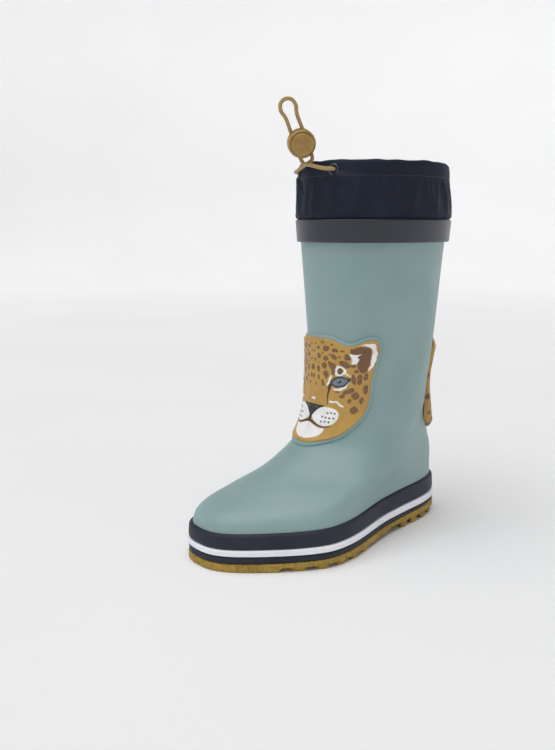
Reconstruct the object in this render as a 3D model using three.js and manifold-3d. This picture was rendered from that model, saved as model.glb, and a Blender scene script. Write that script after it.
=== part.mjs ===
// Child's rubber rain boot, left foot. Millimetres, +Z up, toe along -Y, outer side of the foot +X.
import * as THREE from 'three';
import { mergeVertices } from 'three/addons/utils/BufferGeometryUtils.js';
import Module from 'manifold-3d';

const wasm = await Module();
wasm.setup();

// ---------- driving dimensions ----------
const GAP = 0.3;                  // clearance between pieces that touch
const SEGMENTS = 32;              // facets round the boot

const FOOT_LENGTH = 200.5;        // of the upper, toe to heel
const HEEL_Y = 103.5;
const TOE_Y = HEEL_Y - FOOT_LENGTH;
const SHAFT_Z = 202;              // height of the rubber shaft, to the foot of its top band
const SHAFT_HALF_WIDTH = 46;
const SHAFT_FRONT_Y = -7;
const SHAFT_BACK_Y = 99.5;

// Outer face of the rubber upper: each station is a ring from a front point to a back point.
// front [y, z], back [y, z], half width at the ball, half width at the heel, squareness, foot shape
const STATIONS = [
  { front: [TOE_Y, 5], back: [HEEL_Y, 9.5], ball: 38.5, heel: 29, power: 2.6, foot: 1 },            // outsole
  { front: [TOE_Y, 24], back: [HEEL_Y, 30], ball: 38.5, heel: 29, power: 2.6, foot: 1 },            // foxing edge
  { front: [TOE_Y + 6, 34], back: [HEEL_Y, 38], ball: 37.5, heel: 29.5, power: 2.5, foot: 1 },      // toe cap
  { front: [TOE_Y + 27, 41.5], back: [HEEL_Y - 0.5, 46], ball: 36, heel: 30.5, power: 2.4, foot: 0.95 },
  { front: [TOE_Y + 51, 48.5], back: [HEEL_Y - 2.5, 54], ball: 35, heel: 31.5, power: 2.3, foot: 0.8 },
  { front: [-31, 56], back: [HEEL_Y - 6, 63], ball: 34.5, heel: 32.5, power: 2.2, foot: 0.6 },      // instep
  { front: [-15.5, 67.5], back: [HEEL_Y - 10, 73], ball: 34.5, heel: 34, power: 2.1, foot: 0.35 },  // bend
  { front: [-7, 84], back: [HEEL_Y - 13, 86], ball: 35.5, heel: 35.5, power: 2, foot: 0.15 },       // ankle
  { front: [-4, 102], back: [HEEL_Y - 13, 103], ball: 37, heel: 37, power: 2, foot: 0.03 },         // shin
  { front: [-2.5, 137], back: [HEEL_Y - 9, 137], ball: 40, heel: 40, power: 2, foot: 0 },           // calf
  { front: [SHAFT_FRONT_Y, SHAFT_Z], back: [SHAFT_BACK_Y, SHAFT_Z], ball: SHAFT_HALF_WIDTH,
    heel: SHAFT_HALF_WIDTH, power: 2, foot: 0 },                                                    // head
];
const TOP = STATIONS.length - 1;  // ring number of the head of the shaft
const BALL_SHIFT = 11;            // outward lean of the forefoot
const TOE_SHIFT = -7;             // inward lean of the toe tip

const UPPER_WALL = 1.8;
const REINFORCEMENT_WALL = 1.0;
const LINING_WALL = 1.0;
const TOE_REINFORCEMENT_RING = 3;
const HEEL_COUNTER_RING = 5;
const LINING_STEP_RINGS = [5.7, 7.2];

const FOXING_WALL = 2.3;
const STRIPE_WALL = 2.9;
const LOWER_STRIP_SHARE = { toe: 0.25, heel: 0.11 };   // of the foxing's height
const STRIPE_TOP_SHARE = { toe: 0.465, heel: 0.356 };

const OUTSOLE_LIP = 3.0;          // outsole edge beyond the upper
const PLATE_BOTTOM_Z = 2.6;
const HEEL_PLATE_BOTTOM_Z = 4.4;
const HEEL_BREAST_Y = HEEL_Y - 57.5;
const BREAST_SLOPE = 14;          // the waist ends this far in front of the heel's bars
const BUMPER_BACK_Y = TOE_Y + 29;
const LUG_LENGTH = 8;
const FOREFOOT_LUGS = { first: TOE_Y + 37, pitch: LUG_LENGTH + 6, count: 5 };
const HEEL_LUGS = { first: HEEL_Y - 53.5, pitch: LUG_LENGTH + 5, count: 4 };
const LUG_ROOT = 0.5;             // how far the bars reach up into the plate
const LUG_INSET = 0.4;
const SOLE_HALF_WIDTH = 60;       // wider than the sole
const GROOVE = { width: 5, offset: 11 };

const FILLER_HEIGHT = 3;
const BOARD_HEIGHT = 1.5;
const FOOTBED_HEIGHT = 4;

const BAND_HEIGHT = 15;
const BAND_WALL = 1.5;
const COLLAR_PLY = 0.8;
const COLLAR_HEIGHT = 38;         // cloth above the band
const COLLAR_TUCK = 13;           // cloth bonded under the band
const COLLAR_SWELL = 1.4;         // how far the gathered fabric stands out
const TUNNEL = { below: 7, height: 8.5, depth: 3.6, wall: 0.9 };
const BAND_TOP_Z = SHAFT_Z + BAND_HEIGHT;
const UPPER_TOP_Z = BAND_TOP_Z - 3;
const COLLAR_BOTTOM_Z = BAND_TOP_Z - COLLAR_TUCK;
const COLLAR_TOP_Z = BAND_TOP_Z + COLLAR_HEIGHT;
const TUNNEL_Z = COLLAR_TOP_Z - TUNNEL.below;

const FACE_CENTRE = -6;           // degrees round from the heel to toe line
const EYELET_SPREAD = 24;         // degrees each side of the face's centre
const CORD_DIAMETER = 2.5;
const EYELET = { bore: CORD_DIAMETER + 1.9, flange: CORD_DIAMETER + 5.1, thickness: 0.7,
  barrel: CORD_DIAMETER + 2.7 };

const CORD_PLAY = 0.7;            // extra width of the holes that the cord runs through
const TOGGLE = { diameter: 18, depth: 13, wall: 1.2, hole: CORD_DIAMETER + CORD_PLAY, spread: 3.8, cordAt: 0.6 };
const TOGGLE_AT = new THREE.Vector3(-4.5, SHAFT_FRONT_Y - 10, COLLAR_TOP_Z + 10);
const PLUNGER_AIM = new THREE.Vector3(0.837, -0.547, -0.249).normalize();
const TOGGLE_LEAN = new THREE.Vector3(-0.174, -0.341, 0.924);
const PATCH_GAP = 0.9;            // patches on the curved shin and calf
const FACE_LIP = 1.0;
const FACE_LIP_WIDTH = 3;         // degrees of backing left bare round the face
const FACE_WALL = 1.2;
const TAIL = { bottomRing: 5.5, topRing: 9, middle: 151, sway: -7, halfAngle: 14, wall: 4.5 };
const PLUNGER = { diameter: 14.4, head: 5.7, proud: 4, travel: 2, rail: 0.9, inset: 1, thickness: 6 };
const SPRING = { diameter: 5.5, wire: 0.5, turns: 2.5, length: 2.6 };
const LOOP = { halfWidth: 5, height: 29 };

// ---------- the boot's surface ----------
const smooth = (a, b, x) => {
  const f = Math.min(Math.max((x - a) / (b - a), 0), 1);
  return f * f * (3 - 2 * f);
};
const mix = (a, b, f) => a + (b - a) * f;
const radians = (degrees) => degrees * Math.PI / 180;
const stationValues = STATIONS.map((s) => [...s.front, ...s.back, s.ball, s.heel, s.power, s.foot]);

// Values of the ring number t, on a Catmull-Rom curve through the stations
function ring(t) {
  const i = Math.min(Math.max(Math.floor(t), 0), TOP - 1);
  const f = t - i;
  const beyond = (a, b) => a.map((v, k) => 2 * v - b[k]);
  const p1 = stationValues[i];
  const p2 = stationValues[i + 1];
  const p0 = stationValues[i - 1] ?? beyond(p1, p2);
  const p3 = stationValues[i + 2] ?? beyond(p2, p1);
  return p1.map((v, k) => {
    const m1 = (p2[k] - p0[k]) / 2;
    const m2 = (p3[k] - v) / 2;
    return v * (2 * f ** 3 - 3 * f ** 2 + 1) + p2[k] * (3 * f ** 2 - 2 * f ** 3)
      + m1 * (f ** 3 - 2 * f ** 2 + f) + m2 * (f ** 3 - f ** 2);
  });
}

// Point of the outer face at ring t and angle a (0 at the toe, +90 degrees on the outer side)
function skin(t, a) {
  const [fy, fz, by, bz, ball, heel, power, foot] = ring(t);
  const s = Math.cos(a);
  const half = mix(heel, ball, smooth(-0.3, 0.45, s));
  const reach = Math.max(1 - Math.abs(s) ** power, 0) ** (1 / power);
  const lean = BALL_SHIFT * smooth(-0.6, 0.3, s) + (TOE_SHIFT - BALL_SHIFT) * smooth(0.35, 1, s);
  return new THREE.Vector3(
    Math.sign(Math.sin(a)) * half * reach + foot * lean,
    (fy + by) / 2 + (fy - by) / 2 * s,
    (fz + bz) / 2 + (fz - bz) / 2 * s,
  );
}

function normal(t, a) {
  const step = 0.05;
  const around = skin(t, a + step).sub(skin(t, a - step));
  const up = skin(t + step, a).sub(skin(t - step, a));
  return around.cross(up).normalize();
}

const skinAt = (t, a, offset) => skin(t, a).addScaledVector(normal(t, a), offset);

// Ring number of the shaft at height z
function ringAt(z) {
  let low = 8;
  let high = TOP + 0.6;
  for (let i = 0; i < 40; i++) {
    const t = (low + high) / 2;
    if (ring(t)[1] < z) low = t; else high = t;
  }
  return (low + high) / 2;
}

// ---------- solids ----------
const material = (color, roughness, metalness = 0) =>
  new THREE.MeshStandardMaterial({ color, roughness, metalness });
const sage = material('#8fabab', 0.55);
const navy = material('#2b2f3c', 0.5);
const white = material('#e3e5ee', 0.55);
const ochre = material('#a1853c', 0.75);
const navyCloth = material('#1a2030', 0.9);
const cordCloth = material('#a8874a', 0.85);
const mustard = material('#a9873f', 0.5);
const leopardOchre = material('#b98c3c', 0.6);
const gunmetal = material('#4c4d50', 0.35, 0.9);
const knit = material('#cfc9bd', 0.95);
const board = material('#9a8a72', 0.9);
const steel = material('#b8babd', 0.3, 1);

const boot = new THREE.Group();
function add(name, geometry, look) {
  const mesh = new THREE.Mesh(geometry, look);
  mesh.name = name;
  boot.add(mesh);
  return mesh;
}

function fromTriangles(points, faces) {
  const geometry = new THREE.BufferGeometry();
  geometry.setAttribute('position', new THREE.Float32BufferAttribute(points.flatMap((p) => p.toArray()), 3));
  geometry.setIndex(faces.flat());
  return geometry;
}

// A sheet with thickness: outer and inner faces over a grid of rows, open or closed round the boot
function sheet(rows, closed) {
  const points = [];
  const faces = [];
  const height = rows.length;
  const width = rows[0].length;
  rows.forEach((row) => row.forEach(([outer]) => points.push(outer)));
  rows.forEach((row) => row.forEach(([, inner]) => points.push(inner)));
  const at = (layer, i, j) => layer * height * width + i * width + (j % width);
  const quad = (a, b, c, d) => faces.push([a, b, c], [a, c, d]);
  const columns = closed ? width : width - 1;
  for (let j = 0; j < columns; j++) {
    for (let i = 0; i < height - 1; i++) {
      quad(at(0, i, j), at(0, i, j + 1), at(0, i + 1, j + 1), at(0, i + 1, j));
      quad(at(1, i, j), at(1, i + 1, j), at(1, i + 1, j + 1), at(1, i, j + 1));
    }
    quad(at(0, 0, j), at(1, 0, j), at(1, 0, j + 1), at(0, 0, j + 1));
    const top = height - 1;
    quad(at(0, top, j), at(0, top, j + 1), at(1, top, j + 1), at(1, top, j));
  }
  if (!closed) {
    const last = width - 1;
    for (let i = 0; i < height - 1; i++) {
      quad(at(0, i, 0), at(0, i + 1, 0), at(1, i + 1, 0), at(1, i, 0));
      quad(at(0, i, last), at(1, i, last), at(1, i + 1, last), at(0, i + 1, last));
    }
  }
  return fromTriangles(points, faces);
}

const spread = (from, to, count) =>
  Array.from({ length: count + 1 }, (_, i) => mix(from, to, i / count));
const allAround = spread(-Math.PI, Math.PI, SEGMENTS).slice(0, -1);

// Shell between two offsets; each level is a ring number, or a function of the angle that gives one
function shell(levels, outside, inside, angles = allAround, closed = true) {
  const grid = levels.map((level) => angles.map((a) => {
    const t = typeof level === 'function' ? level(a) : level;
    return [skinAt(t, a, outside(t)), skinAt(t, a, inside(t))];
  }));
  return sheet(grid, closed);
}

// Level solid that fills the boot's outline between two heights above ring 0
function plug(offset, low, high) {
  const angles = allAround.filter((a) => a >= 0 || a === -Math.PI).map(Math.abs).sort((a, b) => a - b);
  const line = [-1, 1].map((side) => angles.map((a) => skinAt(0, side * a, offset)));
  const points = [];
  const faces = [];
  const count = angles.length;
  [low, high].forEach((level) => line.forEach((side) => side.forEach((p) => {
    points.push(new THREE.Vector3(p.x, p.y, level(p)));
  })));
  const at = (level, side, i) => (level * 2 + side) * count + i;
  const quad = (a, b, c, d) => faces.push([a, b, c], [a, c, d]);
  for (let i = 0; i < count - 1; i++) {
    quad(at(1, 0, i), at(1, 1, i), at(1, 1, i + 1), at(1, 0, i + 1));
    quad(at(0, 0, i), at(0, 0, i + 1), at(0, 1, i + 1), at(0, 1, i));
    quad(at(0, 1, i), at(0, 1, i + 1), at(1, 1, i + 1), at(1, 1, i));
    quad(at(0, 0, i), at(1, 0, i), at(1, 0, i + 1), at(0, 0, i + 1));
  }
  quad(at(0, 0, 0), at(0, 1, 0), at(1, 1, 0), at(1, 0, 0));
  quad(at(0, 0, count - 1), at(1, 0, count - 1), at(1, 1, count - 1), at(0, 1, count - 1));
  return fromTriangles(points, faces);
}

function toManifold(geometry) {
  const bare = geometry.clone();
  bare.deleteAttribute('normal');
  bare.deleteAttribute('uv');
  const merged = mergeVertices(bare, 1e-4);
  return new wasm.Manifold(new wasm.Mesh({
    numProp: 3,
    vertProperties: new Float32Array(merged.attributes.position.array),
    triVerts: new Uint32Array(merged.index.array),
  }));
}

function toGeometry(solid) {
  const mesh = solid.getMesh();
  const geometry = new THREE.BufferGeometry();
  geometry.setAttribute('position', new THREE.BufferAttribute(new Float32Array(mesh.vertProperties), 3));
  geometry.setIndex(new THREE.BufferAttribute(new Uint32Array(mesh.triVerts), 1));
  return geometry;
}

// Box between two corners
function block(low, high) {
  const size = new THREE.Vector3(...high).sub(new THREE.Vector3(...low));
  return new THREE.BoxGeometry(...size).translate(...new THREE.Vector3(...low).addScaledVector(size, 0.5));
}

// Turns a shape made along +Z so that it points along an axis from a point
function aimed(geometry, at, axis) {
  const turn = new THREE.Quaternion().setFromUnitVectors(new THREE.Vector3(0, 0, 1), axis);
  return geometry.applyQuaternion(turn).translate(...at);
}

// Turned shape along +Z from [radius, height] points
const turned = (profile, sides = 20) =>
  new THREE.LatheGeometry(profile.map(([r, z]) => new THREE.Vector2(r, z)), sides).rotateX(Math.PI / 2);

// Round cord along a curve
function tube(points, diameter, steps, closed = false) {
  const curve = new THREE.CatmullRomCurve3(points, closed, 'centripetal');
  const section = new THREE.Shape();
  const sides = 8;
  for (let i = 0; i <= sides; i++) {
    const a = 2 * Math.PI * i / sides;
    const [x, y] = [Math.cos(a) * diameter / 2, Math.sin(a) * diameter / 2];
    if (i === 0) section.moveTo(x, y); else if (i < sides) section.lineTo(x, y);
  }
  return new THREE.ExtrudeGeometry(section, { steps, extrudePath: curve, bevelEnabled: false });
}

// ---------- upper, linings and reinforcements ----------
const wall = (depth) => () => -depth;
const layerTwo = UPPER_WALL + GAP;
const layerThree = layerTwo + REINFORCEMENT_WALL + GAP;
const onSole = GAP / (STATIONS[1].front[1] - STATIONS[0].front[1]);
const levels = [onSole, 1, 1.5, 2, 3, 4, 5, 5.5, 6, 6.25, 6.5, 7, 7.5, 8, 8.5, 9, 9.5, TOP, ringAt(UPPER_TOP_Z)];

function liningDepth(t) {
  return mix(layerThree, layerTwo, smooth(...LINING_STEP_RINGS, t));
}

add('upper', shell(levels, () => 0, wall(UPPER_WALL)), sage);
add('lining', shell(levels, (t) => -liningDepth(t), (t) => -liningDepth(t) - LINING_WALL), knit);

// Stiffener on the same rings and angles as the upper, from the sole up to a ring
function reinforcement(middle, top) {
  const half = SEGMENTS / 4 - 1;
  const angles = spread(-half, half, 2 * half).map((k) => middle + 2 * Math.PI * k / SEGMENTS);
  return shell(levels.filter((t) => t <= top), wall(layerTwo), wall(layerTwo + REINFORCEMENT_WALL),
    angles, false);
}
add('toe_reinforcement', reinforcement(0, TOE_REINFORCEMENT_RING), board);
add('heel_counter', reinforcement(Math.PI, HEEL_COUNTER_RING), board);

// ---------- foxing ----------
const share = ({ toe, heel }) => (a) => mix(heel, toe, (1 + Math.cos(a)) / 2);
const lowerTop = share(LOWER_STRIP_SHARE);
const stripeTop = share(STRIPE_TOP_SHARE);
const outward = (distance) => () => distance;
const strip = (from, to, thickness) => shell([from, to], outward(GAP + thickness), outward(GAP));
add('foxing_lower', strip(onSole, lowerTop, FOXING_WALL), navy);
add('foxing_stripe', strip((a) => lowerTop(a) + onSole, stripeTop, STRIPE_WALL), white);
add('foxing_upper', strip((a) => stripeTop(a) + onSole, 1, FOXING_WALL), navy);

// ---------- outsole and the layers inside ----------
const solePlane = (height) => (p) => mix(STATIONS[0].front[1], STATIONS[0].back[1],
  (p.y - STATIONS[0].front[0]) / (STATIONS[0].back[0] - STATIONS[0].front[0])) + height;

const soleMiddle = (TOE_Y + HEEL_Y) / 2;

// x of the middle of the sole at a distance along it
function middleOfSole(y) {
  const a = Math.acos(Math.max(-1, Math.min(1, (soleMiddle - y) / (FOOT_LENGTH / 2))));
  return (skin(0, a).x + skin(0, -a).x) / 2;
}

function outsole() {
  const across = (from, to, low, high) => toManifold(block(
    [-SOLE_HALF_WIDTH, from, low], [SOLE_HALF_WIDTH, to, high]));
  const plateAt = (y) => (y < HEEL_BREAST_Y ? PLATE_BOTTOM_Z : HEEL_PLATE_BOTTOM_Z);
  const tread = toManifold(plug(OUTSOLE_LIP - LUG_INSET, () => 0, () => HEEL_PLATE_BOTTOM_Z + LUG_ROOT));
  const bars = [[TOE_Y - 2 * OUTSOLE_LIP, BUMPER_BACK_Y]];
  for (const set of [FOREFOOT_LUGS, HEEL_LUGS]) {
    for (let i = 0; i < set.count; i++) {
      const start = set.first + i * set.pitch;
      bars.push([start, start + LUG_LENGTH]);
    }
  }
  let solid = toManifold(plug(OUTSOLE_LIP, () => PLATE_BOTTOM_Z, solePlane(0)))
    .subtract(across(HEEL_BREAST_Y - BREAST_SLOPE, HEEL_Y + 2 * OUTSOLE_LIP, 0, HEEL_PLATE_BOTTOM_Z));
  for (const [from, to] of bars) {
    let bar = tread.intersect(across(from, to, -1, plateAt(from) + LUG_ROOT));
    if (from > BUMPER_BACK_Y) {
      for (const side of [-1, 1]) {
        const x = middleOfSole(from) + side * GROOVE.offset;
        bar = bar.subtract(toManifold(block([x - GROOVE.width / 2, from - 1, -1],
          [x + GROOVE.width / 2, to + 1, plateAt(from)])));
      }
    }
    solid = solid.add(bar);
  }
  return toGeometry(solid);
}
add('outsole', outsole(), ochre);

const insideLining = -(layerThree + LINING_WALL + GAP);
const fillerTop = GAP + FILLER_HEIGHT;
const boardTop = fillerTop + GAP + BOARD_HEIGHT;
const footbedTop = boardTop + GAP + FOOTBED_HEIGHT;
const layer = (low, high) => plug(insideLining, solePlane(low), solePlane(high));
add('sole_filler', layer(GAP, fillerTop), board);
add('insole_board', layer(fillerTop + GAP, boardTop), board);
add('footbed', layer(boardTop + GAP, footbedTop), knit);

// ---------- top band and gathered collar ----------
const bandInside = GAP + COLLAR_PLY + GAP;
add('top_band', shell([ringAt(SHAFT_Z), ringAt(BAND_TOP_Z)],
  outward(bandInside + BAND_WALL), outward(bandInside)), navy);

// Oval of the head of the shaft, carried straight up
const head = ring(TOP);
const headMiddle = (head[0] + head[2]) / 2;
function oval(a, z, offset) {
  const rx = head[4] + offset;
  const ry = (head[2] - head[0]) / 2 + offset;
  return new THREE.Vector3(rx * Math.sin(a), headMiddle - ry * Math.cos(a), z);
}
const tunnelBottom = TUNNEL_Z - TUNNEL.height / 2 - TUNNEL.wall;
const collarSwell = (z) => COLLAR_SWELL * (smooth(BAND_TOP_Z, BAND_TOP_Z + 12, z)
  - smooth(BAND_TOP_Z + 12, tunnelBottom, z));
const tunnelDepth = TUNNEL.depth + 2 * TUNNEL.wall;

function collarSection() {
  const rows = [];
  const low = ringAt(COLLAR_BOTTOM_Z);
  const high = ringAt(BAND_TOP_Z + GAP);
  spread(low, high, 1).forEach((t) => rows.push((a) => [
    skinAt(t, a, GAP + COLLAR_PLY), skinAt(t, a, GAP)]));
  [BAND_TOP_Z + 7, BAND_TOP_Z + 12, BAND_TOP_Z + 19].forEach((z) => rows.push((a) => [
    oval(a, z, GAP + COLLAR_PLY + collarSwell(z) + 0.6), oval(a, z, GAP + collarSwell(z) + 0.6)]));
  return rows;
}

function collar() {
  const rows = collarSection();
  [tunnelBottom, COLLAR_TOP_Z - 1.2].forEach((z) => rows.push((a) => [
    oval(a, z, GAP + COLLAR_PLY + collarSwell(z) + 0.6),
    oval(a, z, GAP + COLLAR_PLY + collarSwell(z) + 0.6 - tunnelDepth)]));
  rows.push((a) => [oval(a, COLLAR_TOP_Z, GAP + collarSwell(COLLAR_TOP_Z) - 0.8),
    oval(a, COLLAR_TOP_Z, GAP + collarSwell(COLLAR_TOP_Z) + 0.6 - tunnelDepth + 1.8)]);
  return sheet(rows.map((row) => allAround.map(row)), true);
}
const tunnelMiddle = GAP + COLLAR_PLY + collarSwell(TUNNEL_Z) + 0.6 - tunnelDepth / 2;

function tunnel() {
  const half = TUNNEL.height / 2;
  const grid = [-half, half].map((dz) => allAround.map((a) => [
    oval(a, TUNNEL_Z + dz, tunnelMiddle + TUNNEL.depth / 2),
    oval(a, TUNNEL_Z + dz, tunnelMiddle - TUNNEL.depth / 2)]));
  return sheet(grid, true);
}

const eyeletAngles = { left: FACE_CENTRE - EYELET_SPREAD, right: FACE_CENTRE + EYELET_SPREAD };
function eyeletFrame(side) {
  const a = radians(eyeletAngles[side]);
  const step = 0.05;
  const around = oval(a + step, 0, 0).sub(oval(a - step, 0, 0));
  const axis = around.cross(new THREE.Vector3(0, 0, 1)).normalize();
  return { a, axis };
}
const collarOutside = (z) => GAP + COLLAR_PLY + collarSwell(z) + 0.6;

function drilledCollar() {
  let solid = toManifold(collar()).subtract(toManifold(tunnel()));
  for (const side of ['left', 'right']) {
    const { a, axis } = eyeletFrame(side);
    const drill = new THREE.CylinderGeometry(EYELET.barrel / 2 + GAP, EYELET.barrel / 2 + GAP, 4, 16)
      .rotateX(Math.PI / 2);
    solid = solid.subtract(toManifold(aimed(drill, oval(a, TUNNEL_Z, collarOutside(TUNNEL_Z)), axis)));
  }
  return toGeometry(solid);
}
add('collar', drilledCollar(), navyCloth);

// Eyelet: a flange outside and a short barrel through the fabric; washer inside the tunnel
for (const side of ['left', 'right']) {
  const { a, axis } = eyeletFrame(side);
  const seat = oval(a, TUNNEL_Z, collarOutside(TUNNEL_Z));
  const bore = EYELET.bore / 2;
  const barrel = EYELET.barrel / 2;
  const flange = EYELET.flange / 2;
  const depth = TUNNEL.wall + 1.2;
  const profile = [[bore, -depth], [barrel, -depth], [barrel, GAP], [flange, GAP],
    [flange, GAP + EYELET.thickness], [bore, GAP + EYELET.thickness], [bore, -depth]];
  add(`eyelet_${side}`, aimed(turned(profile, 16), seat, axis), gunmetal);
  const washer = [[barrel + GAP, -depth], [flange, -depth], [flange, -depth + 0.4],
    [barrel + GAP, -depth + 0.4], [barrel + GAP, -depth]];
  add(`eyelet_washer_${side}`, aimed(turned(washer, 16), seat, axis), gunmetal);
}

// ---------- leopard face and tail ----------
// Half width of the face in degrees at each ring, from the chin to the ears
const faceHalf = [[6, 24], [6.25, 37], [6.5, 44], [7, 51], [7.5, 58], [8, 61.5], [8.5, 62.5], [9, 60]];
const lipOutside = PATCH_GAP + FACE_LIP;
const panelOutside = lipOutside + GAP + FACE_WALL;

function facePiece(rows, outer, inner, columns) {
  const grid = rows.map(([t, half]) => spread(-half, half, columns).map((d) => {
    const a = radians(FACE_CENTRE + d);
    return [skinAt(t, a, outer), skinAt(t, a, inner)];
  }));
  return sheet(grid, false);
}
add('face_backing', facePiece(faceHalf, lipOutside, PATCH_GAP, 12), sage);
const inset = faceHalf.map(([t, half]) => [t, half - FACE_LIP_WIDTH]);
add('face_panel', facePiece(inset.slice(0, -1).concat([[9 - 0.06, inset.at(-1)[1]]]),
  panelOutside, lipOutside + GAP, 12), leopardOchre);

// Tail: an S on the back of the shaft, tapering to its top and to a point at the bottom
function tail() {
  const rows = levels.filter((t) => t >= TAIL.bottomRing && t <= TAIL.topRing);
  const grid = rows.map((t) => {
    const f = (t - TAIL.bottomRing) / (TAIL.topRing - TAIL.bottomRing);
    const centre = TAIL.middle + TAIL.sway * Math.sin(2 * Math.PI * f);
    const half = mix(TAIL.halfAngle, TAIL.halfAngle * 0.45, f) * Math.min(1, 0.3 + 4 * f);
    return [-1, -0.5, 0, 0.5, 1].map((side) => {
      const a = radians(centre + side * half);
      const height = PATCH_GAP + TAIL.wall * (0.35 + 0.65 * Math.sqrt(1 - side * side * 0.9));
      return [skinAt(t, a, height), skinAt(t, a, PATCH_GAP)];
    });
  });
  return sheet(grid, false);
}
add('tail', tail(), leopardOchre);

// ---------- cord, cord lock and its button ----------
function drawcord() {
  const stop = 9;
  const around = 360 - 2 * EYELET_SPREAD - 2 * stop;
  const points = spread(0, 1, 26).map((f) => oval(
    radians(eyeletAngles.right + stop + around * f), TUNNEL_Z, tunnelMiddle));
  return tube(points, CORD_DIAMETER, 60);
}
add('drawcord', drawcord(), cordCloth);

const across = new THREE.Vector3().crossVectors(PLUNGER_AIM, TOGGLE_LEAN).normalize();
const along = new THREE.Vector3().crossVectors(across, PLUNGER_AIM).normalize();
const toggleTurn = new THREE.Matrix4().makeBasis(across, PLUNGER_AIM, along).setPosition(TOGGLE_AT);
const placed = (geometry) => geometry.applyMatrix4(toggleTurn);
const onToggle = (x, y, z) => new THREE.Vector3(x, y, z).applyMatrix4(toggleTurn);

// Solid of revolution about the button's axis, from [radius, distance] points
const drum = (profile, sides = 24) => turned(profile, sides).rotateX(-Math.PI / 2);
const toggleFront = TOGGLE.depth / 2;
const pocketFloor = -toggleFront + TOGGLE.wall;
const frameFloor = pocketFloor + GAP + SPRING.length + GAP;
const headBack = toggleFront + PLUNGER.proud - PLUNGER.head;

// Barrel: a rounded drum with a pocket for the button and two cord holes through it
function toggleBarrel() {
  const r = TOGGLE.diameter / 2;
  const bore = PLUNGER.diameter / 2 + GAP;
  const half = PLUNGER.thickness / 2 + GAP;
  const body = drum([[0, -toggleFront], [r - 4, -toggleFront], [r - 1.4, -toggleFront + 1.6],
    [r, -toggleFront + 5], [r, toggleFront - 4], [r - 0.6, toggleFront - 1], [r - 1, toggleFront],
    [0, toggleFront]]);
  const headPocket = drum([[0, headBack - PLUNGER.travel - GAP], [bore, headBack - PLUNGER.travel - GAP],
    [bore, toggleFront + 1], [0, toggleFront + 1]]);
  const frameHalf = PLUNGER.diameter / 2 - PLUNGER.inset + GAP;
  const framePocket = block([-frameHalf, frameFloor - PLUNGER.travel - GAP, -half],
    [frameHalf, headBack, half]);
  const coil = SPRING.diameter / 2 + GAP;
  const springPocket = drum([[0, pocketFloor], [coil, pocketFloor], [coil, headBack], [0, headBack]]);
  let solid = toManifold(body);
  for (const pocket of [headPocket, framePocket, springPocket]) solid = solid.subtract(toManifold(pocket));
  for (const side of [-1, 1]) {
    const hole = new THREE.CylinderGeometry(TOGGLE.hole / 2, TOGGLE.hole / 2, 30, 12)
      .rotateX(Math.PI / 2).translate(side * TOGGLE.spread, TOGGLE.cordAt, 0);
    solid = solid.subtract(toManifold(hole));
  }
  return placed(toGeometry(solid));
}
add('toggle_barrel', toggleBarrel(), mustard);

// Button: a round head on a flat frame; the cord passes through the frame's window
function togglePlunger() {
  const r = PLUNGER.diameter / 2;
  const tip = toggleFront + PLUNGER.proud;
  const head = drum([[0, headBack], [r, headBack], [r, tip - 1.5], [r - 1.5, tip], [0, tip]]);
  const half = PLUNGER.thickness / 2;
  const frame = block([-r + PLUNGER.inset, frameFloor, -half], [r - PLUNGER.inset, headBack + 1, half]);
  const windowHalf = r - PLUNGER.inset - PLUNGER.rail;
  const clear = TOGGLE.hole / 2;
  const opening = block([-windowHalf, TOGGLE.cordAt - clear, -half - 1],
    [windowHalf, TOGGLE.cordAt + clear + PLUNGER.travel, half + 1]);
  return placed(toGeometry(toManifold(head).add(toManifold(frame)).subtract(toManifold(opening))));
}
add('toggle_plunger', togglePlunger(), mustard);

function toggleSpring() {
  const r = (SPRING.diameter - SPRING.wire) / 2;
  const low = pocketFloor + GAP + SPRING.wire / 2;
  const rise = SPRING.length - SPRING.wire;
  const points = spread(0, 1, 30).map((f) => {
    const a = 2 * Math.PI * SPRING.turns * f;
    return new THREE.Vector3(r * Math.cos(a), low + rise * f, r * Math.sin(a));
  });
  return placed(tube(points, SPRING.wire, 40));
}
add('toggle_spring', toggleSpring(), steel);

// The loop: out of one eyelet, through the cord lock, round, back through it and into the other eyelet
function loopRoute() {
  const outOf = (side, distance, rise = 0) => {
    const { a, axis } = eyeletFrame(side);
    return oval(a, TUNNEL_Z + rise, collarOutside(TUNNEL_Z)).addScaledVector(axis, distance);
  };
  const nearCollar = (across, out, up) => new THREE.Vector3(across, SHAFT_FRONT_Y + out, COLLAR_TOP_Z + up);
  const x = TOGGLE.spread;
  const y = TOGGLE.cordAt;
  const { halfWidth, height } = LOOP;
  return [
    outOf('right', -1), outOf('right', 2.2, 0.2), nearCollar(10.5, -5.6, -6.2),
    nearCollar(3.5, -8.9, -4.2), onToggle(x - 0.6, y, -12.5),
    onToggle(x, y, -9), onToggle(x, y, 0), onToggle(x, y, 9), onToggle(x, y, 18),
    onToggle(halfWidth, y, height - 5.5), onToggle(halfWidth * 0.7, y, height - 1.4),
    onToggle(0, y, height),
    onToggle(-halfWidth * 0.7, y, height - 1.4), onToggle(-halfWidth, y, height - 5.5),
    onToggle(-x, y, 18), onToggle(-x, y, 9), onToggle(-x, y, 0), onToggle(-x, y, -9),
    onToggle(-x + 0.9, y + 0.3, -12.3), nearCollar(-8.5, -3.6, -3.6),
    nearCollar(-17, -1.6, -6.2), outOf('left', 2.2, 0.2), outOf('left', -1),
  ];
}
add('drawcord_loop', tube(loopRoute(), CORD_DIAMETER, 76), cordCloth);

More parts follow.
